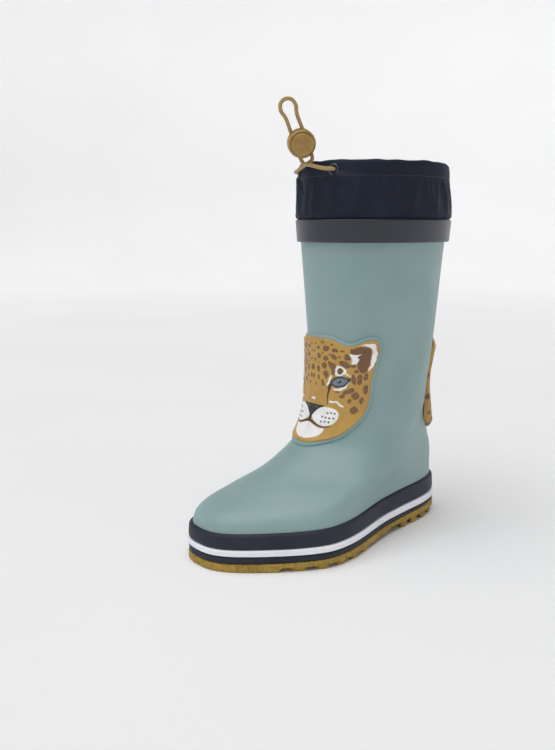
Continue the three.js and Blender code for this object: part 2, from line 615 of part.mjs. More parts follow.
// The boot stands with the middle of its box, cord lock and loop left out, on the origin
const onTheCord = ['drawcord_loop', 'toggle_barrel', 'toggle_plunger', 'toggle_spring'];
const box = new THREE.Box3();
boot.children.filter((piece) => !onTheCord.includes(piece.name)).forEach((piece) => box.expandByObject(piece));
const middle = box.getCenter(new THREE.Vector3());
boot.position.set(-middle.x, -middle.y, -box.min.z);

export default boot;
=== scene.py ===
# %% [markdown]
# # A child's rain boot
# The boot is a rubber upper on a treaded outsole, a navy foxing with a white stripe round the foot,
# a cloth collar with a drawcord and a cord lock, and a leopard's face on the shin with its tail behind.
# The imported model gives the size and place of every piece. Here each piece gets its fine surface and finish.

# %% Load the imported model
import math
import bmesh
import bpy
import numpy as np
from mathutils import Matrix, Vector, noise


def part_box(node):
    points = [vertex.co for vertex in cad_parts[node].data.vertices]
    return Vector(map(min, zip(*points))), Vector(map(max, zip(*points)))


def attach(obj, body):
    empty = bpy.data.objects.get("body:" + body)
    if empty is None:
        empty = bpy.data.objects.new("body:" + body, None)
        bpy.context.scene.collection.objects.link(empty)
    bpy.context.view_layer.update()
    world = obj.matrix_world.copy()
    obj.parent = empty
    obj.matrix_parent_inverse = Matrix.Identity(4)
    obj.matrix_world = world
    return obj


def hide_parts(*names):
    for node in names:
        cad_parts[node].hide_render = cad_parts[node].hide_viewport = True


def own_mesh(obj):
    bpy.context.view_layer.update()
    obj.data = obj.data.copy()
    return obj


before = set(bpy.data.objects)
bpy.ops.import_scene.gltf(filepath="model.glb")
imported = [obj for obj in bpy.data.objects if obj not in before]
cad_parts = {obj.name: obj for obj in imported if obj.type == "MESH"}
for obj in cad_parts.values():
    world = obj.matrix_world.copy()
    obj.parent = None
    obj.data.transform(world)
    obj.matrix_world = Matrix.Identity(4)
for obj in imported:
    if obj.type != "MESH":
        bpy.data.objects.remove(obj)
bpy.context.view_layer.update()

MM = 0.001
print("CAD nodes:", len(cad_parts))

# %% [markdown]
# ## Camera
# A product picture is taken from a little above the boot's middle, level with the shaft, with a lens that
# is long enough to keep the shaft's sides straight. The camera looks from the outer front of the foot.

# %% Place the camera
VIEW_TURN = math.radians(50.4)
VIEW_DROP = math.radians(9.9)
VIEW_DISTANCE = 0.541
VIEW_TARGET = Vector((0.0003, -0.0440, 0.1172))
camera_data = bpy.data.cameras.new("camera")
camera_data.lens = 40
camera_data.sensor_width = 36
camera = bpy.data.objects.new("camera", camera_data)
bpy.context.scene.collection.objects.link(camera)
outward = Vector((math.sin(VIEW_TURN) * math.cos(VIEW_DROP),
                  -math.cos(VIEW_TURN) * math.cos(VIEW_DROP), math.sin(VIEW_DROP)))
camera.location = VIEW_TARGET + outward * VIEW_DISTANCE
camera.rotation_euler = (-outward).to_track_quat("-Z", "Y").to_euler()
bpy.context.scene.camera = camera
print("camera at", tuple(round(v, 3) for v in camera.location))

# %% [markdown]
# ## The last
# A shoemaker shapes a boot over a last, and everything else on the boot follows it. Here the last is a
# formula: a few stations from the sole to the head of the shaft, with a smooth curve through them. One
# function gives a point on it for a ring number and an angle round the boot, and every rubber piece,
# patch and lining is an offset of that. A sculpted mesh would look as good, but its pieces wouldn't nest.

# %% Stations of the last, in millimetres
HEEL_Y = 103.5
TOE_Y = -97.0
# front y, z; back y, z; half width at the ball and at the heel; squareness; how much of a foot it is
STATIONS = np.array([
    (TOE_Y, 5, HEEL_Y, 9.5, 38.5, 29, 2.6, 1),
    (TOE_Y, 24, HEEL_Y, 30, 38.5, 29, 2.6, 1),
    (TOE_Y + 6, 34, HEEL_Y, 38, 37.5, 29.5, 2.5, 1),
    (TOE_Y + 27, 41.5, HEEL_Y - 0.5, 46, 36, 30.5, 2.4, 0.95),
    (TOE_Y + 51, 48.5, HEEL_Y - 2.5, 54, 35, 31.5, 2.3, 0.8),
    (-31, 56, HEEL_Y - 6, 63, 34.5, 32.5, 2.2, 0.6),
    (-15.5, 67.5, HEEL_Y - 10, 73, 34.5, 34, 2.1, 0.35),
    (-7, 84, HEEL_Y - 13, 86, 35.5, 35.5, 2, 0.15),
    (-4, 102, HEEL_Y - 13, 103, 37, 37, 2, 0.03),
    (-2.5, 137, HEEL_Y - 9, 137, 40, 40, 2, 0),
    (-7, 202, 99.5, 202, 46, 46, 2, 0),
], float)
HEAD = len(STATIONS) - 1
BALL_LEAN = 11.0
TOE_LEAN = -7.0
band_low, band_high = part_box("top_band")
upper_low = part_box("upper")[0]
SHIFT = np.array(((band_low.x + band_high.x) / 2 / MM, upper_low.y / MM - TOE_Y, 0.0))
print("last sits at", SHIFT.round(3), "mm")


# %% Points and normals on the last
def smooth(a, b, x):
    f = np.clip((np.asarray(x, float) - a) / (b - a), 0, 1)
    return f * f * (3 - 2 * f)


def mix(a, b, f):
    return a + (b - a) * f


LINES = np.vstack([2 * STATIONS[0] - STATIONS[1], STATIONS, 2 * STATIONS[-1] - STATIONS[-2]])


def ring(t):
    """Station values at ring number t, on a Catmull-Rom curve."""
    t = np.asarray(t, float)
    i = np.clip(np.floor(t).astype(int), 0, HEAD - 1)
    f = (t - i)[..., None]
    p0, p1, p2, p3 = (LINES[i + k] for k in range(4))
    m1, m2 = (p2 - p0) / 2, (p3 - p1) / 2
    return (p1 * (2 * f**3 - 3 * f**2 + 1) + p2 * (3 * f**2 - 2 * f**3)
            + m1 * (f**3 - 2 * f**2 + f) + m2 * (f**3 - f**2))


def skin(t, a):
    """Point of the upper's outer face, a = 0 at the toe and 90 degrees on the outer side."""
    t, a = np.broadcast_arrays(np.asarray(t, float), np.asarray(a, float))
    fy, fz, by, bz, ball, heel, power, foot = np.moveaxis(ring(t), -1, 0)
    s = np.cos(a)
    half = mix(heel, ball, smooth(-0.3, 0.45, s))
    reach = np.maximum(1 - np.abs(s) ** power, 0) ** (1 / power)
    lean = BALL_LEAN * smooth(-0.6, 0.3, s) + (TOE_LEAN - BALL_LEAN) * smooth(0.35, 1, s)
    return np.stack([np.sign(np.sin(a)) * half * reach + foot * lean,
                     (fy + by) / 2 + (fy - by) / 2 * s, (fz + bz) / 2 + (fz - bz) / 2 * s], -1)


def on_last(t, a, offset=0.0):
    """Point at a distance outside the upper's face, in millimetres in the boot's frame."""
    step = 0.05
    around = skin(t, np.asarray(a) + step) - skin(t, np.asarray(a) - step)
    up = skin(np.asarray(t) + step, a) - skin(np.asarray(t) - step, a)
    out = np.cross(around, up)
    out /= np.linalg.norm(out, axis=-1, keepdims=True)
    return skin(t, a) + out * np.asarray(offset, float)[..., None] + SHIFT


def ring_at(z, a=0.0):
    """Ring number where the last reaches height z at angle a."""
    z, a = np.broadcast_arrays(np.asarray(z, float), np.asarray(a, float))
    low, high = np.full(z.shape, 0.0), np.full(z.shape, HEAD + 0.7)
    for _ in range(30):
        middle = (low + high) / 2
        below = skin(middle, a)[..., 2] < z
        low, high = np.where(below, middle, low), np.where(below, high, middle)
    return (low + high) / 2


print("calf ring", float(ring_at(137.0).round(2)))

# %% [markdown]
# ## Making meshes
# Nearly every piece is a grid of points: rows up the boot and columns round it. Two grids, an outer and
# an inner face, joined at their edges make a closed sheet with a real thickness.


# %% Mesh helpers
def make_piece(name, points, faces, uvs=None, body="boot", slot=None, replaces=()):
    """Object from points in millimetres; it rides on a body and may stand for CAD nodes."""
    mesh = bpy.data.meshes.new(name)
    mesh.from_pydata((np.asarray(points, float) * MM).tolist(), [], [list(f) for f in faces])
    mesh.update()
    mesh.polygons.foreach_set("use_smooth", [True] * len(mesh.polygons))
    if uvs is not None:
        layer = mesh.uv_layers.new(name="length")
        corner = np.empty(len(mesh.loops), int)
        mesh.loops.foreach_get("vertex_index", corner)
        layer.data.foreach_set("uv", (np.asarray(uvs, float)[corner] * MM).ravel())
    piece = bpy.data.objects.new(name, mesh)
    bpy.context.scene.collection.objects.link(piece)
    settle(piece, body, replaces)
    return piece


def settle(piece, body, replaces):
    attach(piece, body)
    if replaces:
        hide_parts(*replaces)


def grid_faces(rows, columns, closed, start=0, flip=False):
    i, j = np.meshgrid(np.arange(rows - 1), np.arange(columns if closed else columns - 1), indexing="ij")
    k = (j + 1) % columns
    quads = np.stack([i * columns + j, i * columns + k, (i + 1) * columns + k, (i + 1) * columns + j], -1)
    quads = quads.reshape(-1, 4) + start
    return (quads[:, ::-1] if flip else quads).tolist()


def sheet_faces(rows, columns, closed):
    """Faces of an outer grid and an inner grid with their borders joined."""
    inner = rows * columns
    faces = grid_faces(rows, columns, closed) + grid_faces(rows, columns, closed, inner, True)
    for j in range(columns if closed else columns - 1):
        k, top = (j + 1) % columns, (rows - 1) * columns
        faces.append([j, inner + j, inner + k, k])
        faces.append([top + j, top + k, inner + top + k, inner + top + j])
    if not closed:
        for i in range(rows - 1):
            a, b = i * columns, (i + 1) * columns
            faces.append([a, b, inner + b, inner + a])
            a, b = a + columns - 1, b + columns - 1
            faces.append([a, inner + a, inner + b, b])
    return faces


def lengths(grid):
    """Distances along the columns and up the rows of a grid, as texture coordinates."""
    across = np.linalg.norm(np.diff(grid, axis=1), axis=-1).mean(0)
    up = np.linalg.norm(np.diff(grid, axis=0), axis=-1).mean(1)
    u = np.concatenate([[0], np.cumsum(across)])
    v = np.concatenate([[0], np.cumsum(up)])
    return np.stack(np.meshgrid(u, v), -1).reshape(-1, 2)


def make_sheet(name, outer, inner, closed, **facts):
    rows, columns = outer.shape[:2]
    points = np.concatenate([outer.reshape(-1, 3), inner.reshape(-1, 3)])
    uvs = np.concatenate([lengths(outer), lengths(inner)])
    return make_piece(name, points, sheet_faces(rows, columns, closed), uvs, **facts)


def all_round(count):
    return np.linspace(-math.pi, math.pi, count, endpoint=False)


print("sheet of 3 x 4 points has", len(sheet_faces(3, 4, True)), "faces")

# %% [markdown]
# ## Finishes
# A finish starts from a colour and a roughness, and gets what a real surface has: slow changes of tone,
# fine grain in the bump, and a roughness that isn't even. Constants go straight onto the shader.


# %% A general finish
def linear(*rgb):
    """Scene colour of an sRGB triple from 0 to 255."""
    return tuple(((c / 255 + 0.055) / 1.055) ** 2.4 if c > 10 else c / 255 / 12.92 for c in rgb)


class Finish:
    """A material under construction, with the nodes that most finishes share."""

    def __init__(self, name, roughness, **sockets):
        self.material = bpy.data.materials.new(name)
        self.material.use_nodes = True
        self.nodes, self.links = self.material.node_tree.nodes, self.material.node_tree.links
        self.shader = self.nodes["Principled BSDF"]
        self.shader.inputs["Roughness"].default_value = roughness
        for socket, value in sockets.items():
            self.shader.inputs[socket.replace("_", " ")].default_value = value
        self.place = self.nodes.new("ShaderNodeTexCoord").outputs["Object"]
        self.height = None

    def node(self, kind, **values):
        made = self.nodes.new("ShaderNode" + kind)
        for key, value in values.items():
            if key in made.inputs:
                made.inputs[key].default_value = value
            else:
                setattr(made, key, value)
        return made

    def noise(self, scale, detail=3.0, place=None):
        made = self.node("TexNoise", Scale=scale, Detail=detail)
        self.links.new(place or self.place, made.inputs["Vector"])
        return made.outputs["Fac"]

    def ramp(self, factor, *stops):
        made = self.node("ValToRGB")
        elements = made.color_ramp.elements
        while len(elements) < len(stops):
            elements.new(0.5)
        for element, (position, colour) in zip(elements, stops):
            element.position = position
            element.color = (*colour, 1)
        self.links.new(factor, made.inputs["Fac"])
        return made.outputs["Color"]

    def blend(self, factor, first, second, way="MIX"):
        made = self.nodes.new("ShaderNodeMix")
        made.data_type = "RGBA"
        made.blend_type = way
        for socket, value in ((made.inputs[0], factor), (made.inputs[6], first), (made.inputs[7], second)):
            if isinstance(value, (int, float)):
                socket.default_value = value
            elif isinstance(value, tuple):
                socket.default_value = (*value, 1)
            else:
                self.links.new(value, socket)
        return made.outputs[2]

    def colour(self, socket):
        self.links.new(socket, self.shader.inputs["Base Color"])

    def roughen(self, factor, low, high):
        made = self.node("MapRange")
        made.inputs["To Min"].default_value = low
        made.inputs["To Max"].default_value = high
        self.links.new(factor, made.inputs["Value"])
        self.links.new(made.outputs["Result"], self.shader.inputs["Roughness"])

    def bump(self, factor, depth_mm, strength=1.0):
        made = self.node("Bump", Strength=strength, Distance=depth_mm * MM)
        self.links.new(factor, made.inputs["Height"])
        if self.height:
            self.links.new(self.height, made.inputs["Normal"])
        self.height = made.outputs["Normal"]
        self.links.new(self.height, self.shader.inputs["Normal"])


def wear(material, piece):
    piece.data.materials.clear()
    piece.data.materials.append(material)


print("finishes are ready")

# %% [markdown]
# ### Matt sage rubber
# Vulcanised rubber with a matt bloom: an even grey green with slow cloudy changes, a faint pale bloom,
# a few tiny specks, and a broad soft highlight. A little coat gives the soft gloss over a rough base.


# %% Rubber finishes
def rubber(name, base, light, dark, roughness, grain_mm=0.05, specks=0.0, coat=0.0, shine=0.4):
    made = Finish(name, roughness, Coat_Weight=coat, Coat_Roughness=0.45, Specular_IOR_Level=shine)
    cloudy = made.ramp(made.noise(22, 4), (0.3, dark), (0.5, base), (0.72, light))
    fine = made.noise(900, 2)
    tone = made.blend(0.12, cloudy, made.ramp(fine, (0.35, dark), (0.65, light)))
    if specks:
        dots = made.ramp(made.noise(420, 1), (0.74, (0, 0, 0)), (0.78, (1, 1, 1)))
        tone = made.blend(made.blend(specks, (0, 0, 0), dots), tone, light)
    made.colour(tone)
    made.roughen(made.noise(60, 3), roughness - 0.06, roughness + 0.08)
    made.bump(made.noise(1400, 2), grain_mm, 0.35)
    made.bump(made.noise(110, 3), 0.25, 0.16)
    return made.material


sage = rubber("sage_rubber", linear(136, 163, 162), linear(143, 169, 168), linear(129, 156, 156), 0.46,
              coat=0.2)
navy = rubber("navy_rubber", linear(40, 44, 56), linear(48, 52, 64), linear(34, 38, 48), 0.5, 0.08, 0.06,
              shine=0.22)
white = rubber("white_rubber", linear(240, 241, 247), linear(246, 247, 250), linear(230, 232, 240), 0.5, 0.06)

# %% [markdown]
# ### Gum rubber of the outsole
# The tread is moulded in a rough mould, so the gum is speckled gold and brown with a coarse grain.

# %% Gum rubber
gum_finish = Finish("ochre_rubber", 0.78)
gum_speck = gum_finish.ramp(gum_finish.noise(520, 3), (0.32, linear(112, 88, 34)),
                            (0.5, linear(158, 129, 52)), (0.68, linear(190, 160, 80)))
gum_cloud = gum_finish.ramp(gum_finish.noise(40, 3), (0.35, linear(132, 106, 42)), (0.65, linear(172, 142, 62)))
gum_finish.colour(gum_finish.blend(0.5, gum_speck, gum_cloud))
gum_finish.roughen(gum_finish.noise(300, 2), 0.68, 0.9)
gum_finish.bump(gum_finish.noise(700, 4), 0.5, 0.6)
gum = gum_finish.material
print("rubber finishes:", sage.name, navy.name, white.name, gum.name)

# %% [markdown]
# ## Drawcord
# A round braided cord in dark gold comes out of one eyelet, goes up through the cord lock, makes a loop
# above it and comes back through the lock to the other eyelet. It is soft, so the free loop is held up
# by its own stiffness over the lock. A tube is swept along the route, with the braid's crossing strands
# in its surface.

# %% Places on the collar and the cord lock
COLLAR_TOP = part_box("collar")[1].z / MM
TUNNEL_Z = COLLAR_TOP - 7.0
HEAD_RX, HEAD_RY, HEAD_MIDDLE_Y = 46.0, 53.25, 46.25
FACE_CENTRE = -6.0
EYELET_SPREAD = 24.0
COLLAR_FACE = 1.7
TOGGLE_AT = np.array((-4.5, -17.0, COLLAR_TOP + 10))
AIM = Vector((0.837, -0.547, -0.249)).normalized()
LEAN = Vector((-0.174, -0.341, 0.924))
ACROSS = AIM.cross(LEAN).normalized()
ALONG = ACROSS.cross(AIM).normalized()


def oval(a, z, offset):
    """Point of the collar's outline, carried straight up from the head of the shaft."""
    a, z, offset = np.broadcast_arrays(*(np.asarray(v, float) for v in (a, z, offset)))
    return np.stack([(HEAD_RX + offset) * np.sin(a), HEAD_MIDDLE_Y - (HEAD_RY + offset) * np.cos(a), z],
                    -1) + SHIFT


def eyelet_frame(side):
    a = math.radians(FACE_CENTRE + (EYELET_SPREAD if side == "right" else -EYELET_SPREAD))
    around = Vector(oval(a + 0.05, 0, 0) - oval(a - 0.05, 0, 0))
    return a, around.cross(Vector((0, 0, 1))).normalized()


def out_of(side, distance, rise=0.0):
    a, axis = eyelet_frame(side)
    return oval(a, TUNNEL_Z + rise, COLLAR_FACE) + np.array(axis) * distance


def on_toggle(x, y, z):
    return TOGGLE_AT + np.array(ACROSS) * x + np.array(AIM) * y + np.array(ALONG) * z + SHIFT


def near_collar(x, out, up):
    return np.array((x, -7 + out, COLLAR_TOP + up)) + SHIFT


print("toggle centre", on_toggle(0, 0, 0).round(1))

# %% Route of the free loop
CORD_DIAMETER = 2.5
LOOP_HALF, LOOP_HEIGHT = 5.0, 29.0
HOLE_X, CORD_Y = 3.8, 0.6
loop_points = [
    out_of("right", -1), out_of("right", 2.2, 0.2), near_collar(10.5, -5.6, -6.2), near_collar(3.5, -8.9, -4.2),
    on_toggle(HOLE_X - 0.6, CORD_Y, -12.5), on_toggle(HOLE_X, CORD_Y, -9), on_toggle(HOLE_X, CORD_Y, 0),
    on_toggle(HOLE_X, CORD_Y, 9), on_toggle(HOLE_X, CORD_Y, 18),
    on_toggle(LOOP_HALF, CORD_Y, LOOP_HEIGHT - 5.5), on_toggle(LOOP_HALF * 0.7, CORD_Y, LOOP_HEIGHT - 1.4),
    on_toggle(0, CORD_Y, LOOP_HEIGHT),
    on_toggle(-LOOP_HALF * 0.7, CORD_Y, LOOP_HEIGHT - 1.4), on_toggle(-LOOP_HALF, CORD_Y, LOOP_HEIGHT - 5.5),
    on_toggle(-HOLE_X, CORD_Y, 18), on_toggle(-HOLE_X, CORD_Y, 9), on_toggle(-HOLE_X, CORD_Y, 0),
    on_toggle(-HOLE_X, CORD_Y, -9), on_toggle(-HOLE_X + 0.9, CORD_Y + 0.3, -12.3),
    near_collar(-8.5, -3.6, -3.6), near_collar(-17, -1.6, -6.2), out_of("left", 2.2, 0.2), out_of("left", -1),
]


def smooth_path(points, step):
    """Centripetal curve through the points, with a point about every step millimetres."""
    p = [2 * points[0] - points[1], *points, 2 * points[-1] - points[-2]]
    path = []
    for p0, p1, p2, p3 in zip(p, p[1:], p[2:], p[3:]):
        t0 = 0.0
        t1 = t0 + np.linalg.norm(p1 - p0) ** 0.5
        t2 = t1 + np.linalg.norm(p2 - p1) ** 0.5
        t3 = t2 + np.linalg.norm(p3 - p2) ** 0.5
        count = max(2, round(np.linalg.norm(p2 - p1) / step))
        for t in np.linspace(t1, t2, count, endpoint=False):
            a1 = p0 * (t1 - t) / (t1 - t0) + p1 * (t - t0) / (t1 - t0)
            a2 = p1 * (t2 - t) / (t2 - t1) + p2 * (t - t1) / (t2 - t1)
            a3 = p2 * (t3 - t) / (t3 - t2) + p3 * (t - t2) / (t3 - t2)
            b1 = a1 * (t2 - t) / (t2 - t0) + a2 * (t - t0) / (t2 - t0)
            b2 = a2 * (t3 - t) / (t3 - t1) + a3 * (t - t1) / (t3 - t1)
            path.append(b1 * (t2 - t) / (t2 - t1) + b2 * (t - t1) / (t2 - t1))
    path.append(points[-1])
    return np.array(path)


def path_length(path):
    return float(np.linalg.norm(np.diff(path, axis=0), axis=1).sum())


loop_path = smooth_path(loop_points, 0.35)
print("free loop is", round(path_length(loop_path), 1), "mm long")


# %% Sweep a braided tube
def swept(path, radius, sides, relief=None):
    """Rings of points along a path, turned as little as possible from one to the next."""
    tangents = np.gradient(path, axis=0)
    tangents /= np.linalg.norm(tangents, axis=1, keepdims=True)
    side = Vector(tangents[0]).orthogonal().normalized()
    travelled = np.concatenate([[0], np.cumsum(np.linalg.norm(np.diff(path, axis=0), axis=1))])
    angles = np.linspace(0, 2 * math.pi, sides, endpoint=False)
    rings, uvs = [], []
    for k, (point, tangent) in enumerate(zip(path, tangents)):
        if k:
            turn = Vector(tangents[k - 1]).rotation_difference(Vector(tangent))
            side = (turn @ side).normalized()
        other = Vector(tangent).cross(side)
        r = radius + (relief(angles, travelled[k]) if relief else 0 * angles)
        rings.append(point + np.cos(angles)[:, None] * r[:, None] * np.array(side)
                     + np.sin(angles)[:, None] * r[:, None] * np.array(other))
        uvs += [(radius * a, travelled[k]) for a in angles]
    return np.array(rings), uvs


def make_tube(name, path, radius, sides=16, relief=None, **facts):
    rings, uvs = swept(path, radius, sides, relief)
    faces = grid_faces(len(path), sides, True)
    faces += [list(range(sides))[::-1], [(len(path) - 1) * sides + j for j in range(sides)]]
    return make_piece(name, rings.reshape(-1, 3), faces, uvs, **facts)


STRANDS, BRAID_PITCH = 8, 5.2


def braid(angles, along):
    turn = 2 * math.pi * along / BRAID_PITCH
    one = np.abs(np.cos(STRANDS / 2 * (angles + turn)))
    two = np.abs(np.cos(STRANDS / 2 * (angles - turn)))
    return 0.13 * (np.maximum(one, two) - 0.85)


cord_loop = make_tube("drawcord_loop_braid", loop_path, CORD_DIAMETER / 2, 24, braid,
                      slot="cord", replaces=("drawcord_loop",))

# %% The part inside the tunnel
stop = 9
round_tunnel = np.radians(np.linspace(FACE_CENTRE + EYELET_SPREAD + stop,
                                      FACE_CENTRE - EYELET_SPREAD - stop + 360, 160))
cord_hidden = make_tube("drawcord_in_tunnel", oval(round_tunnel, TUNNEL_Z, -1.0), CORD_DIAMETER / 2, 12,
                        slot="cord", replaces=("drawcord",))

# %% Cord finish
cord_finish = Finish("braided_cord", 0.82, Sheen_Weight=0.35, Sheen_Roughness=0.5)
fibres = cord_finish.ramp(cord_finish.noise(900, 3), (0.3, linear(138, 110, 62)),
                          (0.55, linear(176, 146, 92)), (0.75, linear(204, 178, 124)))
cord_finish.colour(cord_finish.blend(0.35, fibres, linear(172, 142, 88)))
cord_finish.bump(cord_finish.noise(2600, 2), 0.12, 0.6)
wear(cord_finish.material, cord_loop)
wear(cord_finish.material, cord_hidden)

# %% [markdown]
# ## Cord lock
# A round drum in dark gold plastic with a spring-loaded button. The cord runs through two holes in the
# drum and through a window in the button's frame, and the spring pushes the frame against the cord.
# Turned profiles give the drum and button; the pocket, holes and window are cut with booleans, as a
# machinist would, because that keeps every edge true.


# %% Turned shapes and cuts
def turned_mesh(profile, sides=64, axis_matrix=Matrix.Identity(4)):
    """Closed solid of revolution about local Y from [radius, distance] points on the axis at both ends."""
    made = bmesh.new()
    rings = []
    for r, y in profile:
        if r < 1e-6:
            rings.append([made.verts.new((0, y, 0))])
        else:
            rings.append([made.verts.new((r * math.cos(2 * math.pi * k / sides), y,
                                          r * math.sin(2 * math.pi * k / sides))) for k in range(sides)])
    for low, high in zip(rings, rings[1:]):
        for k in range(sides):
            n = (k + 1) % sides
            if len(low) == 1:
                made.faces.new((low[0], high[n], high[k]))
            elif len(high) == 1:
                made.faces.new((low[k], low[n], high[0]))
            else:
                made.faces.new((low[k], low[n], high[n], high[k]))
    bmesh.ops.recalc_face_normals(made, faces=made.faces)
    made.transform(axis_matrix)
    return made


def block_mesh(low, high):
    made = bmesh.new()
    size = Vector(high) - Vector(low)
    bmesh.ops.create_cube(made, size=1.0)
    made.transform(Matrix.Translation((Vector(high) + Vector(low)) / 2) @ Matrix.Diagonal((*size, 1)))
    return made


def loose(made, name="tool"):
    mesh = bpy.data.meshes.new(name)
    made.to_mesh(mesh)
    made.free()
    tool = bpy.data.objects.new(name, mesh)
    bpy.context.scene.collection.objects.link(tool)
    return tool


def carve(body, steps):
    """Applies (operation, solid) steps to a body and leaves one clean mesh, in millimetres."""
    tools = []
    for operation, solid in steps:
        tool = loose(solid)
        cut = body.modifiers.new("cut", "BOOLEAN")
        cut.operation = operation
        cut.object = tool
        cut.solver = "EXACT"
        tools.append(tool)
    depsgraph = bpy.context.evaluated_depsgraph_get()
    mesh = bpy.data.meshes.new_from_object(body.evaluated_get(depsgraph))
    body.modifiers.clear()
    body.data = mesh
    for tool in tools:
        bpy.data.objects.remove(tool)
    return body


def on_lock(body, name, owner, node):
    """Puts a solid made about the cord lock's own axes into its place on the boot."""
    turn = Matrix((ACROSS, AIM, ALONG)).transposed().to_4x4()
    place = Matrix.Translation(Vector(TOGGLE_AT + SHIFT)) @ turn
    body.data.transform(Matrix.Scale(MM, 4) @ place)
    body.name = name
    body.data.name = name
    body.data.polygons.foreach_set("use_smooth", [True] * len(body.data.polygons))
    body.data.set_sharp_from_angle(angle=math.radians(35))
    settle(body, owner, (node,))
    return body


print("cord lock axes ready")

# %% Drum of the cord lock
DRUM_RADIUS, DRUM_FRONT, WALL = 9.0, 6.5, 1.2
HEAD_RADIUS, HEAD_LENGTH, PROUD, TRAVEL = 7.2, 5.7, 4.0, 2.0
GAP = 0.3
FRAME_HALF, FRAME_INSET = 3.0, 1.0
SPRING_RADIUS, SPRING_WIRE, SPRING_LENGTH, SPRING_TURNS = 2.75, 0.25, 2.6, 2.5
head_back = DRUM_FRONT + PROUD - HEAD_LENGTH
pocket_floor = -DRUM_FRONT + WALL
bore = HEAD_RADIUS + GAP


def arc(centre, radius, start, end, count=8):
    """Points of a round edge as [radius, distance]."""
    return [(centre[0] + radius * math.cos(math.radians(mix(start, end, k / count))),
             centre[1] + radius * math.sin(math.radians(mix(start, end, k / count)))) for k in range(count + 1)]


drum_profile = [(0, -DRUM_FRONT), *arc((DRUM_RADIUS - 5, -DRUM_FRONT + 5), 5, -90, 0, 12),
                *arc((DRUM_RADIUS - 2, DRUM_FRONT - 2), 2, 0, 60, 6), (bore + 0.35, DRUM_FRONT),
                (0, DRUM_FRONT)]
drum = loose(turned_mesh(drum_profile, 96), "drum")
holes = []
for side in (-1, 1):
    hole = turned_mesh([(0, -15), (1.6, -15), (1.6, 15), (0, 15)], 32,
                       Matrix.Translation((side * HOLE_X, CORD_Y, 0)) @ Matrix.Rotation(math.pi / 2, 4, "X"))
    holes.append(("DIFFERENCE", hole))
pin_floor = pocket_floor + GAP + SPRING_LENGTH + GAP
frame_side = HEAD_RADIUS - FRAME_INSET
RIM_NOTCHES, NOTCH_STEP, NOTCH_SIZE = 5, 7.0, (1.4, 1.5, 0.5)
notches = []
for k in range(RIM_NOTCHES):
    notch = block_mesh((bore + 0.4, DRUM_FRONT - NOTCH_SIZE[1], -NOTCH_SIZE[2] / 2),
                       (bore + 0.4 + NOTCH_SIZE[0], DRUM_FRONT + 1, NOTCH_SIZE[2] / 2))
    notch.transform(Matrix.Rotation(math.radians(90 + NOTCH_STEP * (k - 2)), 4, "Y"))
    notches.append(("DIFFERENCE", notch))
carve(drum, [
    ("DIFFERENCE", turned_mesh([(0, head_back - TRAVEL - GAP), (bore, head_back - TRAVEL - GAP),
                                (bore, DRUM_FRONT + 1), (0, DRUM_FRONT + 1)], 96)),
    ("DIFFERENCE", block_mesh((-frame_side - GAP, pin_floor - TRAVEL - GAP, -FRAME_HALF - GAP),
                              (frame_side + GAP, head_back, FRAME_HALF + GAP))),
    ("DIFFERENCE", turned_mesh([(0, pocket_floor), (SPRING_RADIUS + GAP, pocket_floor),
                                (SPRING_RADIUS + GAP, head_back), (0, head_back)], 48)),
    *holes, *notches,
])
on_lock(drum, "cord_lock_drum", "cord_lock", "toggle_barrel")

# %% Button of the cord lock
tip = DRUM_FRONT + PROUD
button_profile = [(0, head_back), (HEAD_RADIUS, head_back), *arc((HEAD_RADIUS - 1.3, tip - 1.3), 1.3, 0, 90, 8),
                  (HEAD_RADIUS - 3, tip - 0.12), (0, tip - 0.25)]
button = loose(turned_mesh(button_profile, 96), "button")
window = HEAD_RADIUS - 1.9
carve(button, [
    ("UNION", block_mesh((-frame_side, pin_floor, -FRAME_HALF), (frame_side, head_back + 1, FRAME_HALF))),
    ("DIFFERENCE", block_mesh((-window, CORD_Y - 1.6, -FRAME_HALF - 1),
                              (window, CORD_Y + 1.6 + TRAVEL, FRAME_HALF + 1))),
])
on_lock(button, "cord_lock_button", "button", "toggle_plunger")

# %% Spring of the cord lock
turns = np.linspace(0, 1, 120)
coil_angle = 2 * math.pi * SPRING_TURNS * turns
coil_radius = SPRING_RADIUS - SPRING_WIRE
coil_rise = pocket_floor + GAP + SPRING_WIRE + (SPRING_LENGTH - 2 * SPRING_WIRE) * turns
coil = np.stack([coil_radius * np.cos(coil_angle), coil_rise, coil_radius * np.sin(coil_angle)], -1)
coil_path = np.array([on_toggle(*p) for p in coil])
spring = make_tube("cord_lock_spring", coil_path, SPRING_WIRE, 10, body="cord_lock",
                   slot="spring_steel", replaces=("toggle_spring",))
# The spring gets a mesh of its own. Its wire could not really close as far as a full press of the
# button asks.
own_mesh(spring)

# %% [markdown]
# ### Moulded plastic, steel and gunmetal
# The lock is moulded in a dyed plastic with a fine spark-eroded texture, and handling polishes it a
# little. The eyelets are blackened brass with small bright scratches.

# %% Plastic and metals
plastic_finish = Finish("mustard_plastic", 0.42, Coat_Weight=0.2, Coat_Roughness=0.35)
plastic_tone = plastic_finish.ramp(plastic_finish.noise(180, 4), (0.3, linear(146, 112, 48)),
                                   (0.55, linear(160, 124, 56)), (0.75, linear(176, 140, 72)))
plastic_finish.colour(plastic_tone)
plastic_finish.roughen(plastic_finish.noise(500, 3), 0.34, 0.52)
plastic_finish.bump(plastic_finish.noise(3000, 2), 0.05, 0.5)


def metal(name, colour, roughness):
    made = Finish(name, roughness, Metallic=1.0)
    made.colour(made.ramp(made.noise(700, 4), (0.35, tuple(c * 0.75 for c in colour)), (0.7, colour)))
    made.roughen(made.noise(1500, 3), roughness - 0.08, roughness + 0.12)
    made.bump(made.noise(2500, 2), 0.03, 0.4)
    return made.material


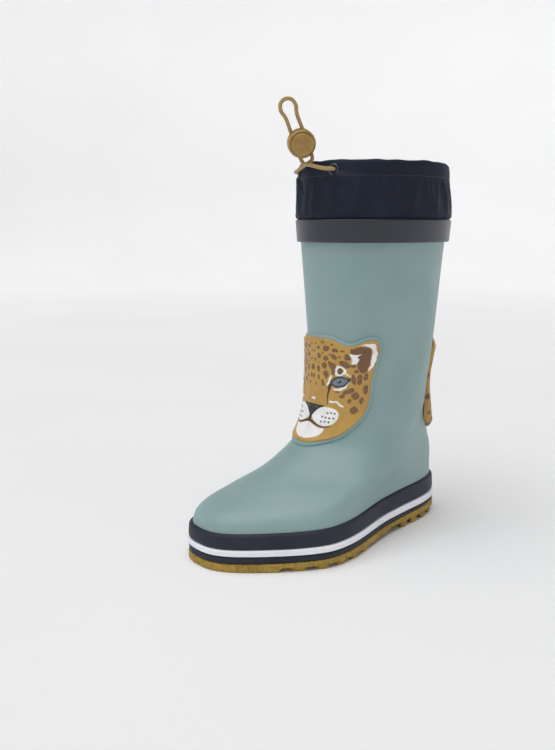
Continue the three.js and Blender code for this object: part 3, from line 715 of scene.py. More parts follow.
gunmetal = metal("gunmetal", linear(92, 94, 98), 0.32)
steel = metal("spring_steel", linear(196, 198, 202), 0.25)
for piece in (drum, button):
    wear(plastic_finish.material, piece)
wear(steel, spring)

# %% [markdown]
# ## Upper
# The upper is one vulcanised rubber shell, 1.8 mm thick. Where the shaft meets the foot it has a few soft
# dents that the rubber takes from bending at the ankle. A dense grid on the last carries them as shape,
# so they catch the light from every side, and the wall is real at the open top.

# %% Build the upper
SOLE_GAP = GAP / (STATIONS[1][1] - STATIONS[0][1])
UPPER_TOP_RING = float(ring_at(214.0))
UPPER_WALL = 1.8


def dents(t, a):
    """Depth in millimetres of the soft folds round the ankle and of the rubber's slow unevenness."""
    depth = 0 * (t + a)
    for ring_number, angle, tall, wide, deep in (
            (6.3, 118, 0.35, 14, 0.9), (7.2, 105, 0.45, 11, 0.7), (6.9, 140, 0.3, 16, 0.6),
            (5.6, 96, 0.4, 13, 0.6), (6.6, -110, 0.35, 14, 0.8), (7.4, -125, 0.4, 13, 0.6),
            (8.2, 122, 0.5, 10, 0.4), (4.4, 60, 0.5, 14, 0.4)):
        away = np.degrees(a) - angle
        slant = t - ring_number - away * 0.012
        depth = depth - deep * np.exp(-(slant / tall) ** 2 - (away / wide) ** 2)
    return depth + 0.18 * np.sin(1.7 * t + 3 * a) * smooth(6, 8, t)


rows = np.concatenate([np.linspace(SOLE_GAP, 1, 10), np.linspace(1.1, UPPER_TOP_RING, 150)])
turn = all_round(220)
t, a = rows[:, None], turn[None, :]
upper = make_sheet("rubber_upper", on_last(t, a, dents(t, a)), on_last(t, a, -UPPER_WALL + 0 * (t + a)), True,
                   slot="sage_rubber", replaces=("upper",))
wear(sage, upper)
print("upper has", len(upper.data.vertices), "points")

# %% [markdown]
# ## Foxing
# Three strips of rubber go round the foot: navy, a white stripe that stands a little proud, and navy
# again. Each is rolled, so its edges are round. Rows of points across the strip follow a soft profile.


# %% Build the foxing strips
def share(toe, heel):
    return lambda a: mix(heel, toe, (1 + np.cos(a)) / 2)


lower_top, stripe_top = share(0.25, 0.11), share(0.465, 0.356)


def strip(name, low, high, thickness, finish, slot, node, ridges=(), taper=(0.0, 0.0)):
    a = all_round(300)
    across = np.concatenate([[0, 0.02, 0.06, 0.12], np.linspace(0.2, 0.8, 13), [0.88, 0.94, 0.98, 1]])[:, None]
    t = mix(low(a), high(a), across)
    crown = (1 - np.abs(2 * across - 1) ** 9) ** 0.5
    height = GAP + thickness * (0.35 + 0.65 * crown)
    height = height - taper[0] * across - taper[1] * smooth(0.8, 1, across)
    for centre, width, rise in ridges:
        height = height + rise * np.exp(-((across - centre) / width) ** 2)
    t, height = np.broadcast_arrays(t, height + 0 * a)
    piece = make_sheet(name, on_last(t, a, height), on_last(t, a, GAP * 0.3 + 0 * t), True,
                       slot=slot, replaces=(node,))
    wear(finish, piece)
    return piece


strip("foxing_below_stripe", lambda a: SOLE_GAP + 0 * a, lower_top, 2.3, navy,
      "navy_rubber", "foxing_lower")
strip("foxing_white_stripe", lambda a: lower_top(a) + SOLE_GAP, stripe_top, 2.9, white,
      "white_rubber", "foxing_stripe", ((0.5, 0.05, -0.25),))
strip("foxing_above_stripe", lambda a: stripe_top(a) + SOLE_GAP, lambda a: 1 + 0 * a, 2.3, navy,
      "navy_rubber", "foxing_upper", ((0.84, 0.03, -0.22),), (0.5, 0.9))
print("foxing strips built")

# %% [markdown]
# ## Outsole
# The outsole is a plate of gum rubber with a solid bumper under the toe, bars across the ball of the
# foot and the heel, and a thin waist between them. The bars' ends are round and stand a little out from
# the plate. The plate is a ring of points down its edge, closed below; each bar is a block of its own
# that is cut by two grooves along the foot.

# %% Edge of the outsole
LIP = 3.0
PLATE_Z, HEEL_PLATE_Z = 2.6, 4.4
BUMPER_Y, BREAST_Y = -68.0, 32.0
SOLE_MIDDLE = (TOE_Y + HEEL_Y) / 2
SOLE_HALF = (HEEL_Y - TOE_Y) / 2


def plate_bottom(y):
    y = y - SHIFT[1]
    return PLATE_Z * smooth(BUMPER_Y - 0.6, BUMPER_Y + 0.6, y) + (HEEL_PLATE_Z - PLATE_Z) * smooth(
        BREAST_Y - 0.7, BREAST_Y + 0.7, y)


def edge_angles(count):
    """Angles round the sole that put the points close together at the steps of its underside."""
    y = np.linspace(-1, 1, count)
    half = np.arccos(np.clip(-y, -1, 1))
    for step_y in (BUMPER_Y, BREAST_Y):
        near = (np.linspace(-0.9, 0.9, 7) + step_y - SOLE_MIDDLE) / SOLE_HALF
        half = np.concatenate([half, np.arccos(np.clip(-near, -1, 1))])
    ends = np.radians([2, 4, 6, 9, 12, 15, 19, 23])
    return np.unique(np.round(np.concatenate([half, ends, math.pi - ends]), 5))


half_turn = edge_angles(120)
outline = np.concatenate([half_turn, (-half_turn[::-1])[1:-1]])
sole_rows = []
DOWN = 12
edge = on_last(0 * outline, outline, LIP + 0 * outline)
top_edge = on_last(0 * outline, outline, LIP - 0.8 + 0 * outline)
for k in range(DOWN + 1):
    f = k / DOWN
    low = plate_bottom(edge[:, 1])
    bulge = (1 - abs(2 * f - 1) ** 6) ** 0.5 * 0.8
    row = on_last(0 * outline, outline, LIP - 0.8 + bulge)
    row[:, 2] = mix(edge[:, 2], low, f)
    bumper = smooth(BUMPER_Y + 1, BUMPER_Y - 2, row[:, 1] - SHIFT[1]) * bulge
    for j, point in enumerate(row):
        if bumper[j] > 0:
            rough = noise.noise(Vector(point) * 0.75) + 0.6 * noise.noise(Vector(point) * 1.7)
            row[j, :2] += (edge[j, :2] - top_edge[j, :2]) * 0.42 * rough * bumper[j]
    sole_rows.append(row)
sole_rows = np.array(sole_rows)[::-1]
count = len(outline)
sole_faces = grid_faces(DOWN + 1, count, True)
pairs = [(j, -j % count) for j in range(len(half_turn))]
for (r0, l0), (r1, l1) in zip(pairs, pairs[1:]):
    for base, flip in ((0, False), (DOWN * count, True)):
        face = [base + r0, base + l0, base + l1, base + r1]
        face = [v for k, v in enumerate(face) if v not in face[:k]]
        sole_faces.append(face[::-1] if flip else face)
print("outsole edge:", count, "points round,", DOWN, "steps down")

# %% Bars of the tread
sole_points = sole_rows.reshape(-1, 3).tolist()


def half_angle(y):
    return math.acos(max(-1, min(1, (SOLE_MIDDLE - y) / SOLE_HALF)))


def side_x(y, side, offset):
    return float(on_last(0.0, side * half_angle(y), np.array(offset))[0])


def rounded_block(corners, low, high, bow):
    """Block with bowed outer ends and round lower edges: corners are x at its four plan corners."""
    (x0, x1), (y0, y1) = corners
    start = len(sole_points)
    across, deep, tall = 9, 8, 5
    for k in range(tall + 1):
        f = k / tall
        shrink = 0.7 * (1 - min(1, f * 2.2)) ** 2
        for i in range(deep + 1):
            y = mix(y0, y1, i / deep)
            curve = (1 - (2 * i / deep - 1) ** 2)
            for j in range(across + 1):
                g = j / across
                left, right = x0(y) - bow[0] * (1 - curve), x1(y) + bow[1] * (1 - curve)
                x = mix(left + shrink * 0.8, right - shrink * 0.8, g)
                yy = mix(y0 + shrink * 0.6, y1 - shrink * 0.6, i / deep)
                sole_points.append((x, yy + SHIFT[1], mix(low, high, f)))
    row, layer = across + 1, (across + 1) * (deep + 1)

    def at(i, j, k):
        return start + k * layer + i * row + j

    for i in range(deep):
        for j in range(across):
            sole_faces.append([at(i, j, 0), at(i + 1, j, 0), at(i + 1, j + 1, 0), at(i, j + 1, 0)])
            sole_faces.append([at(i, j, tall), at(i, j + 1, tall), at(i + 1, j + 1, tall), at(i + 1, j, tall)])
    for k in range(tall):
        for j in range(across):
            sole_faces.append([at(0, j, k), at(0, j + 1, k), at(0, j + 1, k + 1), at(0, j, k + 1)])
            sole_faces.append([at(deep, j, k), at(deep, j, k + 1), at(deep, j + 1, k + 1), at(deep, j + 1, k)])
        for i in range(deep):
            sole_faces.append([at(i, 0, k), at(i, 0, k + 1), at(i + 1, 0, k + 1), at(i + 1, 0, k)])
            sole_faces.append([at(i, across, k), at(i + 1, across, k), at(i + 1, across, k + 1),
                               at(i, across, k + 1)])


BAR = 8.0
GROOVE, GROOVE_AT = 5.0, 11.0
bars = [(-60.0 + 14 * k, PLATE_Z) for k in range(5)] + [(50.0 + 13 * k, HEEL_PLATE_Z) for k in range(4)]
for start_y, plate in bars:
    end_y = min(start_y + BAR, HEEL_Y + LIP - 3.5)
    middle_x = (side_x(start_y, 1, 0) + side_x(start_y, -1, 0)) / 2
    cuts = [middle_x - GROOVE_AT - GROOVE / 2, middle_x - GROOVE_AT + GROOVE / 2,
            middle_x + GROOVE_AT - GROOVE / 2, middle_x + GROOVE_AT + GROOVE / 2]
    inner = [lambda y, x=x: x for x in cuts]
    rounded_block(((lambda y: side_x(y, -1, LIP - 0.3), inner[0]), (start_y, end_y)), 0, plate + 0.6, (-1.4, 0))
    rounded_block(((inner[1], inner[2]), (start_y, end_y)), 0, plate + 0.6, (0, 0))
    rounded_block(((inner[3], lambda y: side_x(y, 1, LIP - 0.3)), (start_y, end_y)), 0, plate + 0.6, (0, -1.4))
outsole = make_piece("outsole_gum", sole_points, sole_faces, slot="ochre_rubber", replaces=("outsole",))
outsole.data.set_sharp_from_angle(angle=math.radians(50))
wear(gum, outsole)
print("tread has", 3 * len(bars), "blocks")

# %% [markdown]
# ## Top band and collar
# A smooth navy band of rubber binds the cloth collar to the shaft. Its upper edge is thin and catches the
# light. The collar is a tube of coated navy cloth, cut a little longer and wider than the space it
# fills, so it stands in soft folds. Its top is turned in and stitched down as the cord's tunnel.

# %% Band
across = np.concatenate([[0, 0.01, 0.03, 0.06], np.linspace(0.12, 0.88, 9), [0.94, 0.965, 0.985, 1]])[:, None]
band_t = mix(ring_at(202.0), ring_at(217.0), across)
around = all_round(240)
band_height = 1.4 + 1.5 * (0.25 + 0.75 * (1 - np.abs(2 * across - 1) ** 14) ** 0.5)
band_height = band_height + 0.12 * np.sin(5 * around + 1) * np.sin(math.pi * across)
t, band_height = np.broadcast_arrays(band_t, band_height)
top_band = make_sheet("rubber_top_band", on_last(t, around, band_height), on_last(t, around, 1.4 + 0 * t), True,
                      slot="navy_rubber", replaces=("top_band",))
band_finish = rubber("navy_band_rubber", linear(36, 40, 51), linear(43, 47, 59), linear(31, 35, 44), 0.36, 0.04,
                     0.05, coat=0.4)
wear(band_finish, top_band)

# %% Shape of the collar before it relaxes
SKIRT_Z, BAND_TOP_Z = 204.0, 217.0
STITCH_Z = TUNNEL_Z - 5.2
AROUND = 260
rng = np.random.default_rng(7)
waves = [(n, rng.uniform(0, 2 * math.pi), rng.uniform(0.5, 1)) for n in (5, 8, 11, 15, 19, 26)]


def ripple(a, lift=0.0):
    return sum(size * np.sin(n * a + phase + lift * (1 + n % 3)) for n, phase, size in waves) / len(waves)


def collar_row(z, offset, gather):
    a = all_round(AROUND)
    return oval(a, z + 0 * a, offset + gather * ripple(a, z * 0.09))


collar_rows, held = [], []
for z in np.linspace(SKIRT_Z, BAND_TOP_Z, 5):
    a = all_round(AROUND)
    collar_rows.append(on_last(ring_at(z) + 0 * a, a, 1.1 + 0 * a))
    held.append(1.0)
for z in np.linspace(BAND_TOP_Z, STITCH_Z, 24)[1:]:
    f = (z - BAND_TOP_Z) / (STITCH_Z - BAND_TOP_Z)
    swell = mix(2.2, 1.9, f) + 0.7 * math.sin(math.pi * f)
    collar_rows.append(collar_row(z, swell, 1.1 * math.sin(math.pi * f)))
    held.append(1.0 if f > 0.999 else 0.0)
body_rows = len(collar_rows)
TOP_ROUND, TOP_FACE = 2.3, 1.1
for k in range(1, 9):
    f = k / 8
    z = mix(STITCH_Z, COLLAR_TOP - TOP_ROUND, f)
    puff = 0.3 * math.sin(math.pi * f)
    a = all_round(AROUND)
    row = oval(a, z, mix(1.9, TOP_FACE, f) + puff + 0.42 * ripple(a, 3.1 + f) * (0.6 + f))
    row[:, 2] += 0.85 * (ripple(a * 1.0, 9.0)) * f
    collar_rows.append(row)
for k in range(1, 7):
    turn_over = math.pi * k / 6
    a = all_round(AROUND)
    row = oval(a, COLLAR_TOP - TOP_ROUND + TOP_ROUND * math.sin(turn_over) * 0.8,
               TOP_FACE - TOP_ROUND * (1 - math.cos(turn_over)) + 0.6 * ripple(a, 4.1))
    row[:, 2] += 0.85 * ripple(a, 9.0) - 0.5
    collar_rows.append(row)
for k in range(1, 6):
    f = k / 5
    a = all_round(AROUND)
    row = oval(a, mix(COLLAR_TOP - TOP_ROUND, STITCH_Z, f),
               -3.5 + 4.1 * smooth(0.6, 1, f) + 0.6 * ripple(a, 4.1) * (1 - f))
    row[:, 2] += (0.85 * ripple(a, 9.0) - 0.5) * (1 - f)
    collar_rows.append(row)
held += [1.0] * (len(collar_rows) - body_rows)
collar_grid = np.array(collar_rows)
print("collar grid", collar_grid.shape)


# %% Creases that the pull of the cord makes
def crease(grid, angle, z, to_angle, to_z, width, rise):
    """Raises a ridge from one place on the collar to another, thinning out at its end."""
    centre = np.array((0, HEAD_MIDDLE_Y, 0)) + SHIFT
    flat = grid - centre
    a = np.degrees(np.arctan2(flat[..., 0], -flat[..., 1]))
    reach = 50 * math.pi / 180
    px, pz = (a - angle) * reach, grid[..., 2] - z
    dx, dz = (to_angle - angle) * reach, to_z - z
    long = math.hypot(dx, dz)
    f = np.clip((px * dx + pz * dz) / long**2, 0, 1)
    away = np.hypot(px - f * dx, pz - f * dz)
    out = flat * (1, 1, 0)
    out /= np.linalg.norm(out, axis=-1, keepdims=True)
    height = rise * np.exp(-(away / width) ** 2) * (1 - f) ** 0.5
    return grid + out * height[..., None]


visible = collar_grid[:body_rows + 6]
RIGHT, LEFT = FACE_CENTRE + EYELET_SPREAD, FACE_CENTRE - EYELET_SPREAD
for start, end_angle, end_z, width, rise in (
        (RIGHT, 62, 228, 2.0, 1.3), (RIGHT, 92, 233, 1.8, 1.0), (RIGHT, -4, 226, 1.7, 1.2),
        (RIGHT, 44, 222, 1.6, -1.0), (RIGHT, 74, 241, 1.4, 0.7), (LEFT, -8, 229, 1.7, 1.2),
        (LEFT, 14, 236, 1.5, -0.9), (LEFT, -62, 228, 2.0, 1.2), (LEFT, -92, 236, 1.8, 0.9),
        (LEFT, -45, 221, 1.6, -0.9)):
    visible = crease(visible, start, TUNNEL_Z - 4, end_angle, end_z, width, rise)
for at, low, high, width, rise in ((112, 240, 222, 2.2, 1.0), (140, 238, 224, 2.0, -0.9),
                                   (171, 241, 226, 2.2, 1.0),
                                   (-118, 240, 223, 2.2, 1.0), (-150, 239, 225, 2.0, -0.8)):
    visible = crease(visible, at, low, at + 14, high, width, rise)
collar_grid[:body_rows + 6] = visible
print("creases pulled in")


# %% [markdown]
# The cloth between the band and the tunnel's stitching is then let go in a cloth simulation, with its
# cut a few per cent larger than the space: it buckles into its own small folds. The skirt under the band
# and the stitched tunnel are held. Each point may move a few millimetres only, so the size stays.


# %% Relax the cloth
def relax(grid, pins, growth, frames, most):
    rows, columns = grid.shape[:2]
    mesh = bpy.data.meshes.new("cloth")
    mesh.from_pydata((grid.reshape(-1, 3) * MM * 10).tolist(), [], grid_faces(rows, columns, True))
    cloth = bpy.data.objects.new("cloth", mesh)
    bpy.context.scene.collection.objects.link(cloth)
    group = cloth.vertex_groups.new(name="held")
    for i, weight in enumerate(pins):
        if weight:
            group.add(list(range(i * columns, (i + 1) * columns)), weight, "REPLACE")
    settings = cloth.modifiers.new("cloth", "CLOTH").settings
    settings.vertex_group_mass = "held"
    settings.quality = 6
    settings.mass = 0.25
    settings.shrink_min = -growth
    settings.tension_stiffness = settings.compression_stiffness = 25
    settings.shear_stiffness = 12
    settings.bending_stiffness = 1.5
    settings.effector_weights.gravity = 0.4
    for frame_number in range(1, frames + 1):
        bpy.context.scene.frame_set(frame_number)
    moved = cloth.evaluated_get(bpy.context.evaluated_depsgraph_get()).to_mesh()
    flat = np.empty(len(moved.vertices) * 3)
    moved.vertices.foreach_get("co", flat)
    relaxed = flat.reshape(grid.shape) / MM / 10
    bpy.data.objects.remove(cloth)
    bpy.context.scene.frame_set(1)
    shift = relaxed - grid
    far = np.linalg.norm(shift, axis=-1, keepdims=True)
    return grid + shift * np.minimum(1, most / np.maximum(far, 1e-9))


collar_final = collar_grid.copy()
free = slice(3, body_rows + 1)
collar_final[free] = relax(collar_grid[free], held[free.start:free.stop], 0.032, 22, 2.6)
print("cloth moved by up to", float(np.abs(collar_final - collar_grid).max().round(2)), "mm")

# %% Give the cloth its thickness
PLY = 0.55


def inside_of(grid, thickness):
    around_grid = np.roll(grid, -1, 1) - np.roll(grid, 1, 1)
    up_grid = np.gradient(grid, axis=0)
    out = np.cross(around_grid, up_grid)
    out /= np.linalg.norm(out, axis=-1, keepdims=True)
    return grid - out * thickness


collar = make_sheet("cloth_collar", collar_final, inside_of(collar_final, PLY), True,
                    slot="navy_cloth", replaces=("collar",))

# %% [markdown]
# ### Coated navy cloth
# A tight plain weave with a water-repellent finish: nearly flat, with a soft sheen where it turns away.
# Two sets of fine bands along the cloth's own length and width stand for warp and weft.

# %% Cloth finish
cloth_finish = Finish("navy_cloth", 0.62, Sheen_Weight=0.04, Sheen_Roughness=0.4, Specular_IOR_Level=0.15)
cloth_finish.shader.inputs["Sheen Tint"].default_value = (*linear(120, 134, 168), 1)
uv = cloth_finish.place.node.outputs["UV"]
cloth_tone = cloth_finish.ramp(cloth_finish.noise(35, 4), (0.3, linear(24, 29, 42)), (0.7, linear(34, 40, 56)))
thread = cloth_finish.noise(1500, 2)
cloth_finish.colour(cloth_finish.blend(0.25, cloth_tone, cloth_finish.ramp(
    thread, (0.35, linear(20, 24, 36)), (0.7, linear(46, 53, 72)))))
cloth_finish.roughen(cloth_finish.noise(90, 3), 0.52, 0.72)
THREADS_PER_METRE = 1600
for direction in ("X", "Y"):
    weave = cloth_finish.node("TexWave", Scale=THREADS_PER_METRE / 20, bands_direction=direction)
    cloth_finish.links.new(uv, weave.inputs["Vector"])
    cloth_finish.bump(weave.outputs["Fac"], 0.05, 0.35)
cloth_finish.bump(cloth_finish.noise(260, 3), 0.25, 0.25)
wear(cloth_finish.material, collar)

# %% [markdown]
# ## Stitching
# A row of stitches closes the tunnel. Each stitch is a short bead of thread that lies on the cloth and
# dips at its ends.

# %% Lay the stitches
stitch_row = body_rows
stitch_line = collar_final[stitch_row]
stitch_points, stitch_faces = [], []
EVERY, SIDES = 2.6, 6
closed_line = np.vstack([stitch_line, stitch_line[:1]])
run = np.concatenate([[0], np.cumsum(np.linalg.norm(np.diff(closed_line, axis=0), axis=1))])
for start_at in np.arange(0, run[-1] - EVERY, EVERY):
    base = len(stitch_points)
    samples = np.linspace(start_at, start_at + EVERY * 0.72, 6)
    places = np.stack([np.interp(samples, run, closed_line[:, k]) for k in range(3)], -1)
    heading = places[-1] - places[0]
    heading /= np.linalg.norm(heading)
    outwards = np.cross(heading, (0, 0, 1))
    outwards /= np.linalg.norm(outwards)
    for k, place in enumerate(places):
        f = k / 5
        thick = 0.17 * math.sin(math.pi * mix(0.12, 0.88, f)) ** 0.5
        middle = place + outwards * (0.22 * math.sin(math.pi * f) - 0.06)
        for s in range(SIDES):
            angle = 2 * math.pi * s / SIDES
            stitch_points.append(middle + outwards * thick * math.cos(angle)
                                 + np.array((0, 0, 1)) * thick * math.sin(angle))
    stitch_faces += grid_faces(6, SIDES, True, base)
    stitch_faces += [list(range(base, base + SIDES))[::-1], list(range(base + 5 * SIDES, base + 6 * SIDES))]
stitches = make_piece("tunnel_stitching", stitch_points, stitch_faces, slot="navy_cloth")
thread_finish = Finish("navy_thread", 0.7, Sheen_Weight=0.3)
thread_finish.colour(thread_finish.ramp(thread_finish.noise(1200, 2), (0.3, linear(24, 28, 42)),
                                        (0.7, linear(40, 46, 63))))
thread_finish.bump(thread_finish.noise(4000, 2), 0.05, 0.6)
wear(thread_finish.material, stitches)
print(len(stitch_points) // (6 * SIDES), "stitches")

# %% [markdown]
# ## Eyelets
# Each cord end goes in through a rolled metal eyelet with a washer behind the cloth. A turned profile
# with round edges gives the rolled rim.


# %% Build the eyelets
def ring_solid(name, profile, place, axis, node):
    """Closed ring turned about an axis from a closed [radius, height] outline."""
    sides = 48
    side = axis.orthogonal().normalized()
    other = axis.cross(side)
    points = [np.array(place) + np.array(side) * r * math.cos(u) + np.array(other) * r * math.sin(u)
              + np.array(axis) * h for r, h in profile for u in np.linspace(0, 2 * math.pi, sides,
                                                                            endpoint=False)]
    faces = grid_faces(len(profile), sides, True)
    last = (len(profile) - 1) * sides
    faces += [[last + j, last + (j + 1) % sides, (j + 1) % sides, j] for j in range(sides)]
    piece = make_piece(name, points, faces, slot="gunmetal", replaces=(node,))
    wear(gunmetal, piece)
    return piece


RIM = [(2.2, -2.0), (2.6, -2.0), (2.62, 0.25), (3.5, 0.3), (3.75, 0.45), (3.8, 0.62), (3.6, 0.85),
       (3.1, 1.02), (2.6, 1.0), (2.3, 0.8), (2.2, 0.5)]
WASHER = [(2.9, -2.1), (3.8, -2.1), (3.8, -1.7), (2.9, -1.7)]
for side in ("left", "right"):
    a, axis = eyelet_frame(side)
    seat = oval(a, TUNNEL_Z, COLLAR_FACE)
    ring_solid(f"eyelet_{side}_rim", RIM, seat, axis, f"eyelet_{side}")
    ring_solid(f"eyelet_{side}_backing", WASHER, seat, axis, f"eyelet_washer_{side}")
print("eyelets set")

# %% [markdown]
# ## Lining and insole
# Inside, a knitted lining is bonded to the rubber from the sole to the collar, and a padded footbed
# covered with the same knit lies on the insole board.

# %% Lining
lining_t = np.linspace(SOLE_GAP, UPPER_TOP_RING, 110)[:, None]
depth = mix(3.4, 2.1, smooth(5.7, 7.2, lining_t))
lining_depth = depth + 0 * turn
lining = make_sheet("knitted_lining", on_last(lining_t + 0 * turn, turn, -lining_depth),
                    on_last(lining_t + 0 * turn, turn, -lining_depth - 1.0), True,
                    slot="knit_lining", replaces=("lining",))

# %% Footbed
FOOTBED_LOW, FOOTBED_HIGH = 5.4, 9.4


def sole_plane(y):
    return mix(5.0, 9.5, (y - SHIFT[1] - TOE_Y) / (HEEL_Y - TOE_Y))


profile = [(0.0, 0.0), (0.0, 0.5), (0.0, 0.85), (0.5, 0.97), (1.4, 1.0)]
bed_rows = []
for inset, lift in profile:
    row = on_last(0 * outline, outline, -4.7 - inset + 0 * outline)
    row[:, 2] = sole_plane(row[:, 1]) + mix(FOOTBED_LOW, FOOTBED_HIGH, lift)
    bed_rows.append(row)
bed_points = np.array(bed_rows).reshape(-1, 3).tolist()
bed_faces = grid_faces(len(profile), count, True, 0, True)
ACROSS_BED = 14
rim_start = (len(profile) - 1) * count
bed_index = {}
for k, (r, l) in enumerate(pairs):
    ends = np.array(bed_points[rim_start + r]), np.array(bed_points[rim_start + l])
    for j in range(ACROSS_BED + 1):
        if j == 0 or j == ACROSS_BED or r == l:
            bed_index[k, j] = rim_start + (r if j < ACROSS_BED / 2 else l)
            continue
        g = j / ACROSS_BED
        point = mix(ends[0], ends[1], g)
        cup = 1.1 * (1 - (2 * g - 1) ** 2) * smooth(-10, 60, point[1])
        bed_index[k, j] = len(bed_points)
        bed_points.append(point - np.array((0, 0, cup * 0.8)))
for k in range(len(pairs) - 1):
    for j in range(ACROSS_BED):
        face = [bed_index[k, j], bed_index[k, j + 1], bed_index[k + 1, j + 1], bed_index[k + 1, j]]
        face = [v for n, v in enumerate(face) if v not in face[:n]]
        if len(face) > 2:
            bed_faces.append(face)
    face = [pairs[k][0], pairs[k][1], pairs[k + 1][1], pairs[k + 1][0]]
    face = [v for n, v in enumerate(face) if v not in face[:n]]
    bed_faces.append(face[::-1])
footbed = make_piece("footbed_cushion", bed_points, bed_faces, slot="knit_lining", replaces=("footbed",))
clean = bmesh.new()
clean.from_mesh(footbed.data)
bmesh.ops.recalc_face_normals(clean, faces=clean.faces)
clean.to_mesh(footbed.data)
clean.free()

# %% Knit finish
knit_finish = Finish("knit_lining", 0.9, Sheen_Weight=0.3, Sheen_Roughness=0.6)
knit_tone = knit_finish.ramp(knit_finish.noise(60, 4), (0.3, linear(196, 190, 178)),
                             (0.7, linear(214, 209, 198)))
knit_finish.colour(knit_finish.blend(0.3, knit_tone, knit_finish.ramp(
    knit_finish.noise(1100, 2), (0.35, linear(164, 157, 144)), (0.65, linear(226, 222, 212)))))
knit_uv = knit_finish.place.node.outputs["UV"]
for direction in ("X", "Y"):
    rib = knit_finish.node("TexWave", Scale=38, Distortion=1.2, bands_direction=direction)
    knit_finish.links.new(knit_uv, rib.inputs["Vector"])
    knit_finish.bump(rib.outputs["Fac"], 0.2, 0.5)
knit_finish.bump(knit_finish.noise(1200, 3), 0.3, 0.5)
wear(knit_finish.material, lining)
wear(knit_finish.material, footbed)

# %% Board finish for the stiffeners that the boot hides
board_finish = Finish("fibre_board", 0.9)
board_finish.colour(board_finish.ramp(board_finish.noise(500, 5), (0.3, linear(132, 114, 88)),
                                      (0.7, linear(168, 150, 122))))
board_finish.bump(board_finish.noise(900, 4), 0.3, 0.5)
for node in ("toe_reinforcement", "heel_counter", "sole_filler", "insole_board"):
    wear(board_finish.material, bpy.data.objects[node])
print("hidden stiffeners finished")

# %% [markdown]
# ## Leopard's face
# The face is a flat rubber patch with a printed animal, bonded to the shin inside a raised rim of the
# boot's own rubber. Both pieces are fans of points from the middle of the face out to its outline, laid
# on the last, so their edges are clean however the print is drawn. Places on the face are given as
# degrees round the shin from the face's middle and a height above the ground.

# %% Outline of the face
DEGREE = 0.663            # millimetres along the shin for each degree
FACE_HEART_Z = 104.0
HALF_OUTLINE = [(0, 67.4), (12, 67.6), (24, 69.2), (38, 72.8), (46, 77.9), (53, 84.5), (57.5, 92), (59, 100),
                (58.8, 110), (60, 120), (62, 128), (62.6, 133.5), (60.5, 137.6), (56, 138.6), (50, 137.3),
                (43, 135), (36, 134), (29, 135.6), (21, 138), (12, 138.7), (0, 138.6)]


def closed_curve(points, each):
    """Smooth closed curve through points, as an array."""
    p = np.array(points, float)
    n = len(p)
    curve = []
    for k in range(n):
        p0, p1, p2, p3 = p[k - 1], p[k], p[(k + 1) % n], p[(k + 2) % n]
        for f in np.arange(each) / each:
            curve.append(0.5 * (2 * p1 + (p2 - p0) * f + (2 * p0 - 5 * p1 + 4 * p2 - p3) * f**2
                                + (3 * p1 - p0 - 3 * p2 + p3) * f**3))
    return np.array(curve)


def in_millimetres(points):
    return [(x * DEGREE, z) for x, z in points]


face_points = in_millimetres(HALF_OUTLINE + [(-x, z) for x, z in HALF_OUTLINE[-2:0:-1]])
face_outline = closed_curve(face_points, 14)


def grown(outline, by):
    """Outline moved outward, as on a flat pattern."""
    ahead = np.roll(outline, -2, 0) - np.roll(outline, 2, 0)
    out = np.stack([ahead[:, 1], -ahead[:, 0]], -1)
    out /= np.linalg.norm(out, axis=1, keepdims=True)
    for _ in range(6):
        out = (np.roll(out, 1, 0) + out * 2 + np.roll(out, -1, 0)) / 4
    return outline + out * by


def on_shin(flat, offset):
    """Points of a flat pattern laid on the shin, at a distance outside its rubber."""
    a = np.radians(FACE_CENTRE + flat[..., 0] / DEGREE)
    return on_last(ring_at(flat[..., 1], a), a, offset)


def fan(outline, shares):
    heart = np.array((0, FACE_HEART_Z))
    return heart + (outline[None] - heart) * np.asarray(shares)[:, None, None]


print("face outline", len(face_outline), "points,",
      np.ptp(face_outline, axis=0).round(1), "mm wide and tall")

# %% Rim of sage rubber round the face
RIM_WIDTH = 2.1
rim_shares = np.concatenate([np.linspace(0.02, 0.9, 12), np.linspace(0.915, 1, 18)])
rim_outline = grown(face_outline, RIM_WIDTH)
rim_flat = fan(rim_outline, rim_shares)
to_edge = np.linalg.norm(rim_flat - rim_outline[None], axis=-1)
rim_height = 0.1 + 1.55 * np.sqrt(1 - (1 - np.minimum(to_edge / 1.5, 1)) ** 2)
face_rim = make_sheet("face_rim", on_shin(rim_flat, rim_height)[::-1],
                      on_shin(rim_flat, 0 * rim_height - 0.05)[::-1],
                      True, slot="sage_rubber", replaces=("face_backing",))
wear(sage, face_rim)

# %% [markdown]
# ### The print
# Each mark of the print is a small shape: an ellipse, a stroke that tapers, or a blob through a few
# points. For every point of the patch the distance to the shape says whether the ink lies there, and
# the colour is stored on the point. A dense patch keeps the marks sharp. The marks are given for one
# side of the face and mirrored, as the animal's are, with a little wandering so the sides differ.


# %% Distances to marks, in millimetres on the flat pattern
def ellipse(x, z, wide, tall, tilt=0.0):
    c, s = math.cos(math.radians(tilt)), math.sin(math.radians(tilt))

    def distance(p):
        dx, dz = p[..., 0] - x * DEGREE, p[..., 1] - z
        u, v = (dx * c + dz * s) / (wide / 2), (-dx * s + dz * c) / (tall / 2)
        return (np.hypot(u, v) - 1) * min(wide, tall) / 2
    return distance


def stroke(points, start, end=None):
    """Line through points whose width runs from start to end."""
    places = np.array(in_millimetres(points))
    end = start if end is None else end

    def distance(p):
        best = np.full(p.shape[:-1], 1e9)
        steps = len(places) - 1
        for k in range(steps):
            a, b = places[k], places[k + 1]
            f = np.clip(((p - a) @ (b - a)) / ((b - a) @ (b - a)), 0, 1)
            away = np.linalg.norm(p - a - f[..., None] * (b - a), axis=-1)
            best = np.minimum(best, away - mix(start, end, (k + f) / steps) / 2)
        return best
    return distance


